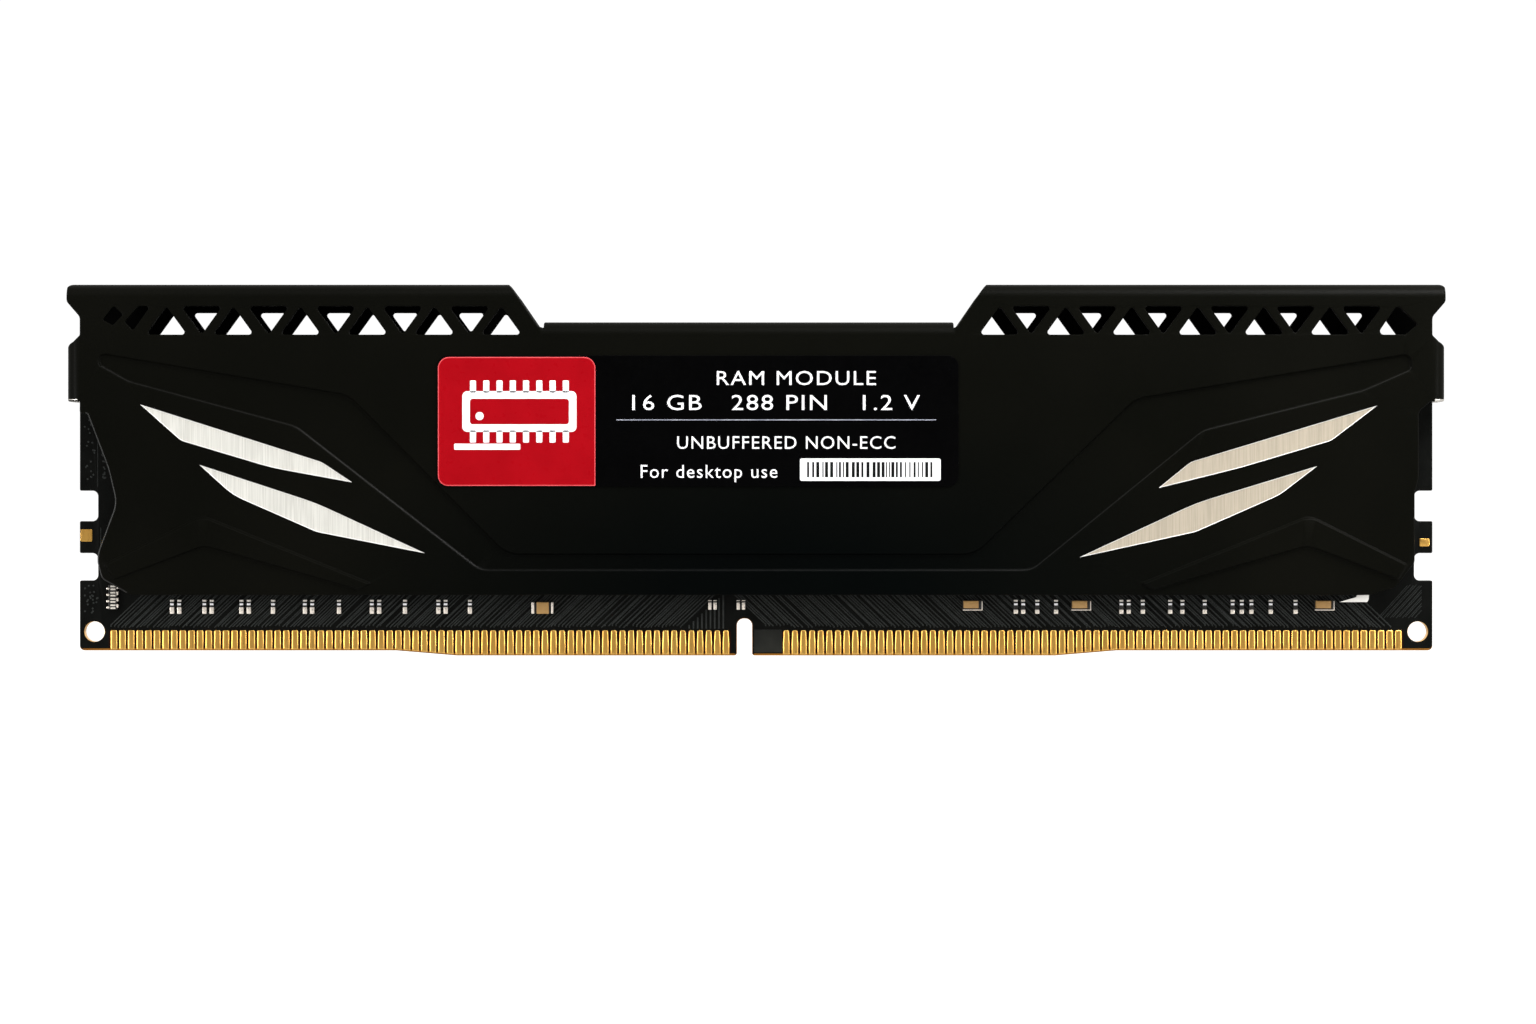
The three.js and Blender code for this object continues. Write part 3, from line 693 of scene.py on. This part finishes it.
def spreader_edge(outward, point):
    """Rounded, with raw lower ends on the tabs, painted shade on the walls in the vents and a painted
    highlight on the rim of the left bay.
    """
    raw = abs(point.x) > WAIST + 0.2 and outward.y < -0.9 and abs(point.y - TAB_LOW) < 0.4
    vent = TRUSS_LOW - 0.9 < point.y < TRUSS_HIGH + 0.2 and abs(point.x) < 65.1
    vent = vent and not SADDLE_LEFT - 2.5 < point.x < SADDLE_RIGHT + 2.0
    # The left bay's rim takes the painted highlight.
    bay = point.x < -62.0 and FOOT + 1.0 < point.y < 24.0
    rim = RAW if raw else PAINTED_HIGHLIGHT if bay else BLACK
    wall = RAW if raw else PAINTED_SHADE if vent else BLACK
    return ROUND, rim, wall


def raw_tab_ends():
    """Patches of bare metal along the tabs' lower ends, and the rows of points above them."""
    zones, rows = [], []
    for hand in (-1, 1):
        near, far = sorted((hand * (WAIST + 0.2), hand * (WAIST + 5.0)))
        zones.append((loop(rectangle(near, TAB_LOW - 0.1, far, TAB_LOW + TAB_RAW)), RAW))
        start = WAIST if hand > 0 else -WAIST - 4.0
        rows.append([(start, TAB_LOW + TAB_RAW), (start + 4.0, TAB_LOW + TAB_RAW)])
    return zones, rows


def heat_spreader(face, side):
    rear = side < 0
    features = ramp_rings(SUNKEN_BAND, -RELIEF)
    # A painted highlight along the middle of the band's lower slope, between these two rings.
    crest = [loop(SUNKEN_BAND, RAMP * share) for share in (0.32, 0.68)]
    tab_zones, tab_rows = raw_tab_ends()
    zones = [(crest[0], PAINTED_HIGHLIGHT), (crest[1], BLACK), (ABOVE_BAND, BLACK), *tab_zones]
    for hand in (-1, 1):
        flip = (lambda c: c) if hand > 0 else mirrored
        features += ramp_rings(flip(RAISED_RIB), RELIEF)
        for corners in stripes(hand * side):
            rim, floor = loop(flip(corners)), loop(flip(corners), STRIPE_RIM)
            features += [(rim, 0.0), (floor, -STRIPE_DEPTH)]
            # The stripe rims take the painted highlight.
            zones += [(rim, STRIPE_RIM_HIGHLIGHT), (floor, BARE)]
    borders = [(spreader_outline(), RIM)] + [(corners, -VENT_RIM) for corners in truss_holes(rear)]
    piece = Piece(face + "_spreader", SPREADER_LOOK, "anodised_aluminium", side)
    plate(
        piece,
        [(loop(c, inset), loop(c)) for c, inset in borders],
        features,
        fold_lines() + tab_rows,
        on_spreader,
        SHEET,
        spreader_edge,
        zones,
        back=PAINTED_SHADE,
    )
    return piece.make([face + "_heat_spreader"])


# ---- circuit board ---------------------------------------

BOARD_LOOK = [SOLDER_MASK, LAMINATE, GOLD, DARK_LAMINATE, BARE_LAMINATE]
MASK, PALE_EDGE, PLATED, DARK_EDGE, BARE_FACE = range(len(BOARD_LOOK))
EDGE, HOLE_EDGE = 0.05, 0.015
BEVEL_ZONE = 1.2  # the contact edge, with its step, lies below this height

def edge_height(x):
    share = (abs(x) - STEP_FROM) / (STEP_TO - STEP_FROM)
    return STEP_RISE * min(max(share, 0.0), 1.0)


def board_outline():
    inner = BOARD_END - NOTCH_DEPTH
    right = [(BOARD_END, STEP_RISE, 0.5)]
    for low, high in NOTCHES:
        right += [
            (BOARD_END, low, 0.15), (inner, low, NOTCH_CORNER),
            (inner, high, NOTCH_CORNER), (BOARD_END, high, 0.15),
        ]
    right.append((BOARD_END, BOARD_TOP, 0.5))
    left, past = SLOT_X - SLOT_WIDTH / 2, SLOT_X + SLOT_WIDTH / 2
    return [
        (-STEP_TO, STEP_RISE, 0.0), (-STEP_FROM, 0.0, 0.0), (left, 0.0, 0.25),
        (left, SLOT_TOP, 0.7), (past, SLOT_TOP, 0.7), (past, 0.0, 0.25),
        (STEP_FROM, 0.0, 0.0), (STEP_TO, STEP_RISE, 0.0), *right, *mirrored(right),
    ]


def edge_reach(outward, z):
    """The board's edge is broken lightly all round and bevelled along the contacts."""
    along_contacts = smooth((-outward.y - 0.75) / 0.2) if z < BEVEL_ZONE else 0.0
    return EDGE + (BEVEL - EDGE) * along_contacts


def board_edge(outward, point):
    """Gold in the holes, pale layers along the contacts and the slot, dark ones elsewhere."""
    foot = point.y < BEVEL_ZONE and outward.y < -0.3
    in_slot = abs(point.x - SLOT_X) < SLOT_WIDTH and point.y < SLOT_TOP + 0.5
    in_hole = math.hypot(abs(point.x) - HOLE_X, point.y - HOLE_Z) < HOLE_RADIUS + 0.3
    material = PLATED if in_hole else PALE_EDGE if foot or in_slot else DARK_EDGE
    return BEVELLED if foot else BROKEN, material, material


def circuit_board():
    corners = board_outline()
    ring, rim = [], loop(corners)
    for whole, broken in zip(rim, loop(corners, EDGE)):
        outward = (Vector(whole) - Vector(broken)) / EDGE
        reach = edge_reach(outward.normalized(), whole[1])
        ring.append(tuple(Vector(whole) - outward * reach))
    across = 2 * HOLE_RADIUS
    holes = [centred(side * HOLE_X, HOLE_Z, across, across, 0.9999) for side in (-1, 1)]
    borders = [(ring, rim)] + [(loop(hole, -HOLE_EDGE), loop(hole)) for hole in holes]
    run = (FINGERS - 1) * PITCH + 0.5
    fields = [loop(rectangle(x - 0.5, -1.0, x + run, FINGER_TOP - 0.1)) for x in FIELD_STARTS]
    piece = Piece("board", BOARD_LOOK, "solder_mask")

    def place(x, z, depth):
        return x, depth - BOARD_HALF, z

    flush = [(field, 0.0) for field in fields]
    bare = [(field, BARE_FACE) for field in fields]
    plate(piece, borders, flush, [], place, 2 * BOARD_HALF, board_edge, bare)
    return piece.make(["circuit_board"])


def finger(piece, x):
    """One gold finger: rounded shoulders, a slightly crowned face and a foot over the bevel."""
    half, corner = FINGER_WIDTH / 2, 0.14
    taper = FINGER_TAPER * (1 - abs(x) / BOARD_END)
    across = ((-1, -0.01), (-0.95, 0.012), (-0.68, 0.056), (-0.52, 0.067), (0, FINGER_PROUD))
    across += tuple((-s, proud) for s, proud in reversed(across[:-1]))
    down = ((0.0, 0.0), (0.02, 0.4), (0.07, 0.8), (corner, 0.96), (0.3, 1.0), (1.3, 1.0))
    rows = []
    for depth, share in down:
        shoulder = corner - min(depth, corner)
        width = half - corner + math.sqrt(corner ** 2 - shoulder ** 2) - taper * (1.3 - depth)
        rows.append([(x + s * width, FINGER_TOP - depth, proud * share) for s, proud in across])
    for above, share in ((BEVEL, 1.0), (0.11, 1.0), (0.09, 0.0)):
        foot = [(x + s * half, proud * share) for s, proud in across]
        rows.append([(px, edge_height(px) + above, proud) for px, proud in foot])
    points = []
    for row in rows:
        for px, pz, proud in row:
            into_bevel = max(edge_height(px) + BEVEL - pz, 0.0)
            points.append((px, into_bevel - BOARD_HALF - proud, pz))
    wide, high = len(across), len(rows)
    faces = []
    for r in range(high - 1):
        for c in range(wide - 1):
            a = r * wide + c
            faces.append([a, a + wide, a + wide + 1, a + 1])
    left = [r * wide for r in range(high)]
    right = [r * wide + wide - 1 for r in range(high)]
    bend = high - 3
    last_row = range((high - 1) * wide + 1, high * wide - 1)
    faces.append([*range(1, wide - 1), *right[: bend + 1], *reversed(left[: bend + 1])])
    faces.append([*left[bend:], *last_row, *reversed(right[bend:])])
    piece.add(points, faces)


def contacts(face, side):
    for hand, start in zip(("left", "right"), FIELD_STARTS):
        piece = Piece(f"{face}_gold_fingers_{hand}", [GOLD], "gold_plating", side)
        for i in range(FINGERS):
            finger(piece, start + i * PITCH)
        piece.make([f"{face}_contacts_{hand}"])


def ribbon(piece, route, width=0.11, rise=0.035):
    """A trace under the solder mask along a route of (x, z) points."""
    half = width / 2
    route = [Vector(p) for p in route]
    left, right = [], []
    for i, point in enumerate(route):
        arriving = (point - route[max(i - 1, 0)]) if i else route[1] - route[0]
        leaving = (route[i + 1] - point) if i + 1 < len(route) else arriving
        along = (arriving.normalized() + leaving.normalized()).normalized()
        out = Vector((-along.y, along.x)) * half / max(along.dot(leaving.normalized()), 0.5)
        left.append(tuple(point + out))
        right.append(tuple(point - out))
    piece.raised(left + right[::-1], [(0, -0.01), (0.012, rise * 0.8), (0.035, rise)], base=BOARD_HALF)


def traces(face, side):
    """Slanting traces over the contacts, a hatched corner, lines by the slot and along the ends."""
    dice = random.Random(7 if side > 0 else 8)
    piece = Piece(face + "_traces", [MASKED_COPPER], "solder_mask", side)
    pitch, top = 0.36, FOOT + 1.2
    for hand, first, last in ((1, -63.6, -7.2), (-1, 0.95, 62.6)):
        x, run, bunch = first, 0, 11
        while x < last:
            run += 1
            if run > bunch:
                run, bunch = 0, dice.choice((8, 12, 15))
                x += pitch * 0.7
            low = FINGER_TOP + (0.25 if abs(x) > 3.5 else 0.4) + dice.choice((0.0, 0.07, 0.15))
            turn = low + dice.uniform(0.0, 0.2)
            ribbon(piece, [(x, low), (x, turn), (x + hand * (top - turn) * 1.05, top)])
            x += pitch
    for k in range(13):
        x = 61.3 + k * 0.3
        low = 3.7 + 0.1 * (k % 2)
        reach = min(2.9, 65.6 - x)
        ribbon(piece, [(x, low), (x + reach, low + reach * 1.1)], 0.07, 0.02)
    for k in range(9):
        x = -6.6 + k * 0.42
        ribbon(piece, [(x, FINGER_TOP + 0.15), (x, 3.0 + 0.38 * k)], 0.16)
    for x, low, high in ((-64.9, 16.6, 22.6), (-64.6, 10.4, 12.6), (65.0, 17.0, 23.6)):
        ribbon(piece, [(x, low), (x, high)], 0.07)
    piece.make()


def test_pads():
    """Gold pads on the board's ends, masked copper by the slot and dots along the left end."""
    piece = Piece("test_pads", [GOLD, MASKED_COPPER, MASKED_AREA], "gold_plating")
    profile = [(0, -0.01), (0.01, 0.03), (0.04, 0.045)]
    for corners in (centred(-66.02, 11.84, 1.15, 1.2, 0.12), centred(65.88, 11.15, 1.0, 0.78, 0.1)):
        piece.raised(corners, profile, base=BOARD_HALF)
    by_slot = rectangle(-0.2, 0.3, 2.55, FINGER_TOP + 0.05, 0.1)
    piece.raised(by_slot, profile, 2, BOARD_HALF)
    dot = [(0, -0.01), (0.02, 0.015), (0.05, 0.02)]
    dice = random.Random(3)
    for zone in ((-66.2, 17.2, -65.2, 23.6), (-64.5, 17.4, -64.1, 20.4), (-66.2, 4.2, -64.9, 7.0)):
        for _ in range(22):
            x, z = dice.uniform(zone[0], zone[2]), dice.uniform(zone[1], zone[3])
            piece.raised(centred(x, z, 0.2, 0.2, 0.09), dot, 1, BOARD_HALF)
    piece.make()


# ---- small parts -----------------------------------------


def centre_of(node):
    low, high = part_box(node)
    return [(a + b) / 2 / MM for a, b in zip(low, high)]


def resistor(piece, x, z):
    """Chip resistor on end: a pale top terminal, a mark on black glaze and a soldered foot."""
    at = BOARD_HALF
    foot_top = z - 0.02 if x < 0 else z - 0.27
    piece.block(centred(x, z, 0.36, 1.32, 0.03), at, 0.30, 0.03, 2)
    piece.block(centred(x, z + 0.61, 0.38, 0.17, 0.03), at - 0.01, 0.36, 0.03, 1)
    piece.block(centred(x, z + 0.26, 0.36, 0.20, 0.03), at + 0.28, 0.05, 0.02, 3)
    piece.block(rectangle(x - 0.20, z - 0.68, x + 0.20, foot_top, 0.05), at - 0.01, 0.37, 0.04, 0)


def short_resistor(piece, x, z):
    """Smaller chip with only its foot showing, and a bright line above it."""
    at = BOARD_HALF
    piece.block(centred(x, z + 0.22, 0.34, 0.7, 0.03), at, 0.26, 0.03, 2)
    piece.block(centred(x, z + 0.08, 0.32, 0.70, 0.05), at - 0.01, 0.36, 0.05, 0)
    piece.block(centred(x, z + 0.62, 0.34, 0.07, 0.02), at - 0.01, 0.34, 0.02, 0)


def capacitor(piece, x, z, length, width, rise):
    """Low ceramic capacitor: tan body at one end of a dark patch of painted shadow, with a bright solder
    line round it.
    """
    at = BOARD_HALF
    piece.block(centred(x + 0.05, z - 0.05, length + 0.04, width + 0.02, 0.04), at - 0.01, 0.10, 0.02, 0)
    piece.block(centred(x - 0.02, z + 0.04, length - 0.02, width, 0.03), at, 0.14, 0.02, 2)
    piece.block(centred(x - 0.14, z + 0.09, length - 0.42, width - 0.18, 0.05), at, rise, 0.07, 1)
    piece.block(centred(x + length / 2 - 0.20, z + 0.08, 0.16, width - 0.2, 0.04), at, rise - 0.06, 0.05, 2)


def tall_capacitor(piece, x, z, rise):
    """Square ceramic capacitor with its two terminals standing clear of the body, over a dark block of
    painted shadow that shows in the gaps.
    """
    at = BOARD_HALF
    piece.block(centred(x, z, 1.5, 1.0, 0.05), at, rise - 0.25, 0.04, 2)
    piece.block(centred(x, z, 1.2, 1.14, 0.06), at, rise, 0.07, 1)
    piece.block(centred(x - 0.98, z, 0.28, 1.12, 0.06), at - 0.01, rise - 0.1, 0.06, 0)
    piece.block(centred(x + 0.92, z, 0.2, 1.12, 0.06), at - 0.01, rise - 0.1, 0.05, 0)


def small_parts():
    """One piece for each small part on the front, at its CAD node's place."""
    look = [TIN, ALUMINA, GLAZE_AND_SHADOW, INK]
    for i in range(1, 16):
        node = f"chip_resistor_{i}"
        x, _, z = centre_of(node)
        piece = Piece(f"resistor_{i}", look, "ceramic_parts")
        resistor(piece, x, z)
        piece.make([node])
    for i in range(1, 11):
        node = f"resistor_pair_{i}"
        x, _, z = centre_of(node)
        piece = Piece(f"paired_resistors_{i}", look, "ceramic_parts")
        draw, shift = (short_resistor, 0.26) if abs(x) < 10 else (resistor, 0.36)
        for hand in (-1, 1):
            draw(piece, x + hand * shift, z)
        piece.make([node])
    for i in range(1, 5):
        node = f"bypass_capacitor_{i}"
        low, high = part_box(node)
        x, _, z = centre_of(node)
        length, rise, width = ((b - a) / MM for a, b in zip(low, high))
        piece = Piece(f"capacitor_{i}", [TIN, TITANATE, GLAZE_AND_SHADOW], "ceramic_parts")
        if length > 2.0:
            tall_capacitor(piece, x, z, rise)
        else:
            capacitor(piece, x, z, length, width, rise)
        piece.make([node])
    resistor_array()
    paper_tag()


def paper_tag():
    """A slip of paper whose slanting left end comes out from under the spreader."""
    low, high = ([c / MM for c in corner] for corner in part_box("inspection_tag"))
    piece = Piece("paper_tag", [PAPER], "paper")
    slant = [
        (low[0], low[2], 0.0), (high[0] - 0.15, low[2], 0.05), (high[0], low[2] + 0.3, 0.1),
        (high[0], high[2], 0.1), (low[0] + 2.0, high[2], 0.1), (low[0] + 1.7, low[2] + 0.5, 0.2),
    ]
    piece.block(slant, -high[1], high[1] - low[1], 0.03)
    piece.make(["inspection_tag"])


def resistor_array():
    """Four resistors in one package: two bright bars on each and a terminal at each end."""
    x, _, z = centre_of("resistor_array")
    piece = Piece("array_of_resistors", [TIN, ALUMINA, GLAZE_AND_SHADOW], "ceramic_parts")
    at = BOARD_HALF
    piece.block(centred(x, z, 0.84, 2.44, 0.04), at, 0.36, 0.04, 2)
    for step in (-1.5, -0.5, 0.5, 1.5):
        level = z + step * 0.62
        for bar in (-1, 1):
            piece.block(centred(x + 0.05, level + bar * 0.14, 0.5, 0.16, 0.02), at + 0.30, 0.12, 0.03, 1)
        piece.block(centred(x - 0.46, level - 0.08, 0.3, 0.2, 0.05), at - 0.01, 0.40, 0.05)
        piece.block(centred(x + 0.48, level + 0.08, 0.14, 0.34, 0.04), at - 0.01, 0.40, 0.04)
    piece.make(["resistor_array"])


def rear_parts():
    """The rear row of small parts, which the CAD model leaves to this script."""
    piece = Piece("rear_small_parts", [TIN, ALUMINA, GLAZE_AND_SHADOW, INK], "ceramic_parts", -1)
    for i in range(1, 11):
        x, _, z = centre_of(f"resistor_pair_{i}")
        for shift in (-0.36, 0.36):
            resistor(piece, -x + shift, z)
    for i in range(1, 16, 2):
        x, _, z = centre_of(f"chip_resistor_{i}")
        resistor(piece, -x, z)
    piece.make()


def dress_hidden_parts():
    """Chips and thermal pads keep their CAD shape and get their own finish."""
    for name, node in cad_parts.items():
        look = MOULD if "memory" in name else SILICONE if "thermal_pad" in name else None
        if look:
            node.data.materials.clear()
            node.data.materials.append(look)


# ---- label -----------------------------------------------


def lettering(name, words, x, z, height, width):
    """One line of plain words in white ink, fitted to a width, with its middle at x and foot at z."""
    curve = bpy.data.curves.new(name, "FONT")
    curve.body = words
    curve.align_x = "CENTER"
    curve.space_character = 1.12
    curve.resolution_u = 3
    text = bpy.data.objects.new(name, curve)
    bpy.context.collection.objects.link(text)
    bpy.context.view_layer.update()
    capital, rise = 0.70, 0.006
    scale = height / capital * MM
    curve.extrude = rise
    curve.materials.append(INK)
    text.rotation_euler = (math.radians(90), 0, 0)
    text.scale = (width * MM / text.dimensions.x, scale, MM)
    text.location = (x * MM, -(LABEL_FACE + rise) * MM, z * MM)
    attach(text, "root")


def label():
    x0, z0, x1, z1 = LABEL
    piece = Piece("label_sheet", [FILM], "label_film")
    piece.block(rectangle(x0, z0, x1, z1, 1.1), FACE + 0.005, 0.155, 0.05)
    piece.make(["label"])
    piece = Piece("label_red_block", [RED_FILM, PAINTED_RED_HIGHLIGHT], "label_film")
    x0, z0, x1, z1 = RED_BLOCK
    x0, z0 = x0 + 0.06, z0 + 0.06
    shape = [(x0, z0, 1.0), (x1, z0, 0.1), (x1, z1, 1.1), (x0, z1, 1.1)]
    # The outer film is the paler red of the painted highlight; the inner one is the red block.
    piece.raised(shape, [(0, -0.01), (0.0, 0.006), (0.02, 0.010)], 1, LABEL_FACE)
    x0, z0, x1, z1 = x0 + 0.1, z0 + 0.1, x1 - 0.1, z1 - 0.1
    inner = [(x0, z0, 0.9), (x1, z0, 0.1), (x1, z1, 1.0), (x0, z1, 1.0)]
    piece.raised(inner, [(0, 0.0), (0.0, 0.014), (0.02, 0.018)], 0, LABEL_FACE)
    piece.make()
    pictogram()
    lettering("label_line_1", "RAM MODULE", 3.9, 26.6, 1.4, 15.6)
    lettering("label_line_2", "16 GB   288 PIN   1.2 V", 1.7, 24.15, 1.5, 28.2)
    lettering("label_line_3", "UNBUFFERED NON-ECC", 2.95, 20.35, 1.25, 21.4)
    lettering("label_line_4", "For desktop use", -4.65, 17.5, 1.3, 13.4)
    piece = Piece("label_print", [INK, BLACK_INK, GREY_INK], "label_film")
    ink = [(0, -0.004), (0.0, 0.008), (0.01, 0.012)]
    bar = [(0, 0.006), (0, 0.014), (0.01, 0.016)]
    piece.raised(rectangle(-13.7, 23.13, 17.65, 23.23, 0.02), ink, 2, LABEL_FACE)
    piece.raised(rectangle(4.3, 17.2, 18.1, 19.4, 0.2), ink, 0, LABEL_FACE)
    dice = random.Random(11)
    x = 5.0
    while x < 17.2:
        width = dice.choice((0.12, 0.2, 0.3))
        piece.raised(rectangle(x, 17.55, x + width, 19.05, 0.01), bar, 1, LABEL_FACE)
        x += width + dice.choice((0.14, 0.2, 0.3))
    piece.make()


def pictogram():
    """A plain chip: an outlined body with legs on two sides, and a bar below it."""
    piece = Piece("label_pictogram", [INK, RED_FILM], "label_film")
    film = LABEL_FACE + 0.018
    ink = [(0, -0.004), (0.0, 0.006), (0.01, 0.01)]
    x, z = -23.2, 24.0
    piece.raised(centred(x, z, 11.2, 4.0, 0.5), ink, 0, film)
    piece.raised(centred(x, z, 9.7, 2.5, 0.3), [(0, 0.0), (0, 0.014), (0.01, 0.016)], 1, film)
    piece.raised(centred(x - 3.9, z - 0.45, 0.8, 0.8, 0.38), [(0, 0.01), (0, 0.02), (0.01, 0.022)], 0, film)
    for step in range(8):
        for side in (-1, 1):
            leg = centred(x + (step - 3.5) * 1.3, z + side * 2.45, 0.6, 1.2, 0.1)
            piece.raised(leg, ink, 0, film)
    piece.raised(rectangle(-29.6, 20.25, -23.1, 20.85, 0.1), ink, 0, film)
    piece.make()


# ---- scene -----------------------------------------------


SKY_LOW, SKY_HIGH, FRONT_SHARE = 1.02, 1.12, 0.2
FLOOR_TONE, FLOOR_GLOW = 0.5, 0.7


def studio():
    """Soft light, brighter from above and dim from the front, a white backdrop and a pale floor."""
    world = bpy.context.scene.world or bpy.data.worlds.new("studio")
    bpy.context.scene.world = world
    world.use_nodes = True
    nodes, links = world.node_tree.nodes, world.node_tree.links
    soft = nodes["Background"]
    soft.inputs["Color"].default_value = (1.0, 0.985, 0.96, 1)
    direction = nodes.new("ShaderNodeSeparateXYZ")
    links.new(nodes.new("ShaderNodeTexCoord").outputs["Generated"], direction.inputs["Vector"])
    height = map_range(world.node_tree, direction.outputs["Z"], -0.1, 0.8, SKY_LOW, SKY_HIGH)
    dim = map_range(world.node_tree, direction.outputs["Y"], -0.97, -0.72, FRONT_SHARE, 1.0)
    dim.interpolation_type = "SMOOTHSTEP"
    strength = nodes.new("ShaderNodeMath")
    strength.operation = "MULTIPLY"
    links.new(height.outputs["Result"], strength.inputs[0])
    links.new(dim.outputs["Result"], strength.inputs[1])
    links.new(strength.outputs["Value"], soft.inputs["Strength"])
    white = nodes.new("ShaderNodeBackground")
    white.inputs["Color"].default_value = (1, 1, 1, 1)
    white.inputs["Strength"].default_value = 1.05
    mix = nodes.new("ShaderNodeMixShader")
    path = nodes.new("ShaderNodeLightPath")
    links.new(path.outputs["Is Camera Ray"], mix.inputs["Fac"])
    links.new(soft.outputs["Background"], mix.inputs[1])
    links.new(white.outputs["Background"], mix.inputs[2])
    links.new(mix.outputs["Shader"], nodes["World Output"].inputs["Surface"])

    pale_floor()
    area_light("top_softbox", (0.10, -0.09, 0.20), (0.03, 0.0, 0.02), (0.36, 0.10), 0.40)
    area_light("left_strip", (-0.24, -0.14, 0.03), (-0.03, 0.0, 0.015), (0.03, 0.14), 0.30)
    area_light("right_strip", (0.24, -0.14, 0.03), (0.03, 0.0, 0.015), (0.03, 0.14), 0.20)
    area_light("right_rim_light", (0.10, -0.06, 0.13), (0.045, 0.0, 0.036), (0.10, 0.03), 0.24)


def pale_floor():
    floor_mesh = bpy.data.meshes.new("floor")
    reach, level = 6.0, -0.06
    corners = [(x * reach, y * reach, level) for x, y in ((-1, -1), (1, -1), (1, 1), (-1, 1))]
    floor_mesh.from_pydata(corners, [], [[0, 1, 2, 3]])
    floor = bpy.data.objects.new("floor", floor_mesh)
    bpy.context.collection.objects.link(floor)
    pale = Nodes("pale_floor", (FLOOR_TONE,) * 3, 0.9)
    glow = pale.node("Emission")
    glow.inputs["Color"].default_value = (FLOOR_GLOW,) * 3 + (1,)
    path = pale.node("LightPath")
    both = pale.node("AddShader")
    pale.link(path.outputs["Is Camera Ray"], glow.inputs["Strength"])
    pale.link(pale.shader.outputs["BSDF"], both.inputs[0])
    pale.link(glow.outputs["Emission"], both.inputs[1])
    pale.link(both.outputs["Shader"], pale.tree.nodes["Material Output"].inputs["Surface"])
    floor_mesh.materials.append(pale.material)


def area_light(name, place, target, size, watts):
    lamp = bpy.data.lights.new(name, "AREA")
    lamp.shape = "RECTANGLE"
    lamp.size, lamp.size_y = size
    lamp.energy = watts
    light = bpy.data.objects.new(name, lamp)
    light.location = place
    aim = Vector(target) - Vector(place)
    light.rotation_euler = aim.to_track_quat("-Z", "Y").to_euler()
    bpy.context.collection.objects.link(light)


def camera():
    """A long straight view; the frame's width in millimetres is measured on the plane."""
    distance, plane, frame_width = 450.0, -1.0, 151.33
    lens = bpy.data.cameras.new("camera")
    lens.sensor_width = 36.0
    lens.lens = 36.0 * distance / frame_width
    view = bpy.data.objects.new("camera", lens)
    view.location = Vector((1.17, plane - distance, 14.15)) * MM
    view.rotation_euler = (math.radians(90), 0, 0)
    bpy.context.collection.objects.link(view)
    bpy.context.scene.camera = view


camera()
studio()
bpy.context.scene.view_settings.view_transform = "Standard"
heat_spreader("front", 1)
heat_spreader("rear", -1)
circuit_board()
for face, side in (("front", 1), ("rear", -1)):
    contacts(face, side)
    traces(face, side)
test_pads()
small_parts()
rear_parts()
dress_hidden_parts()
label()
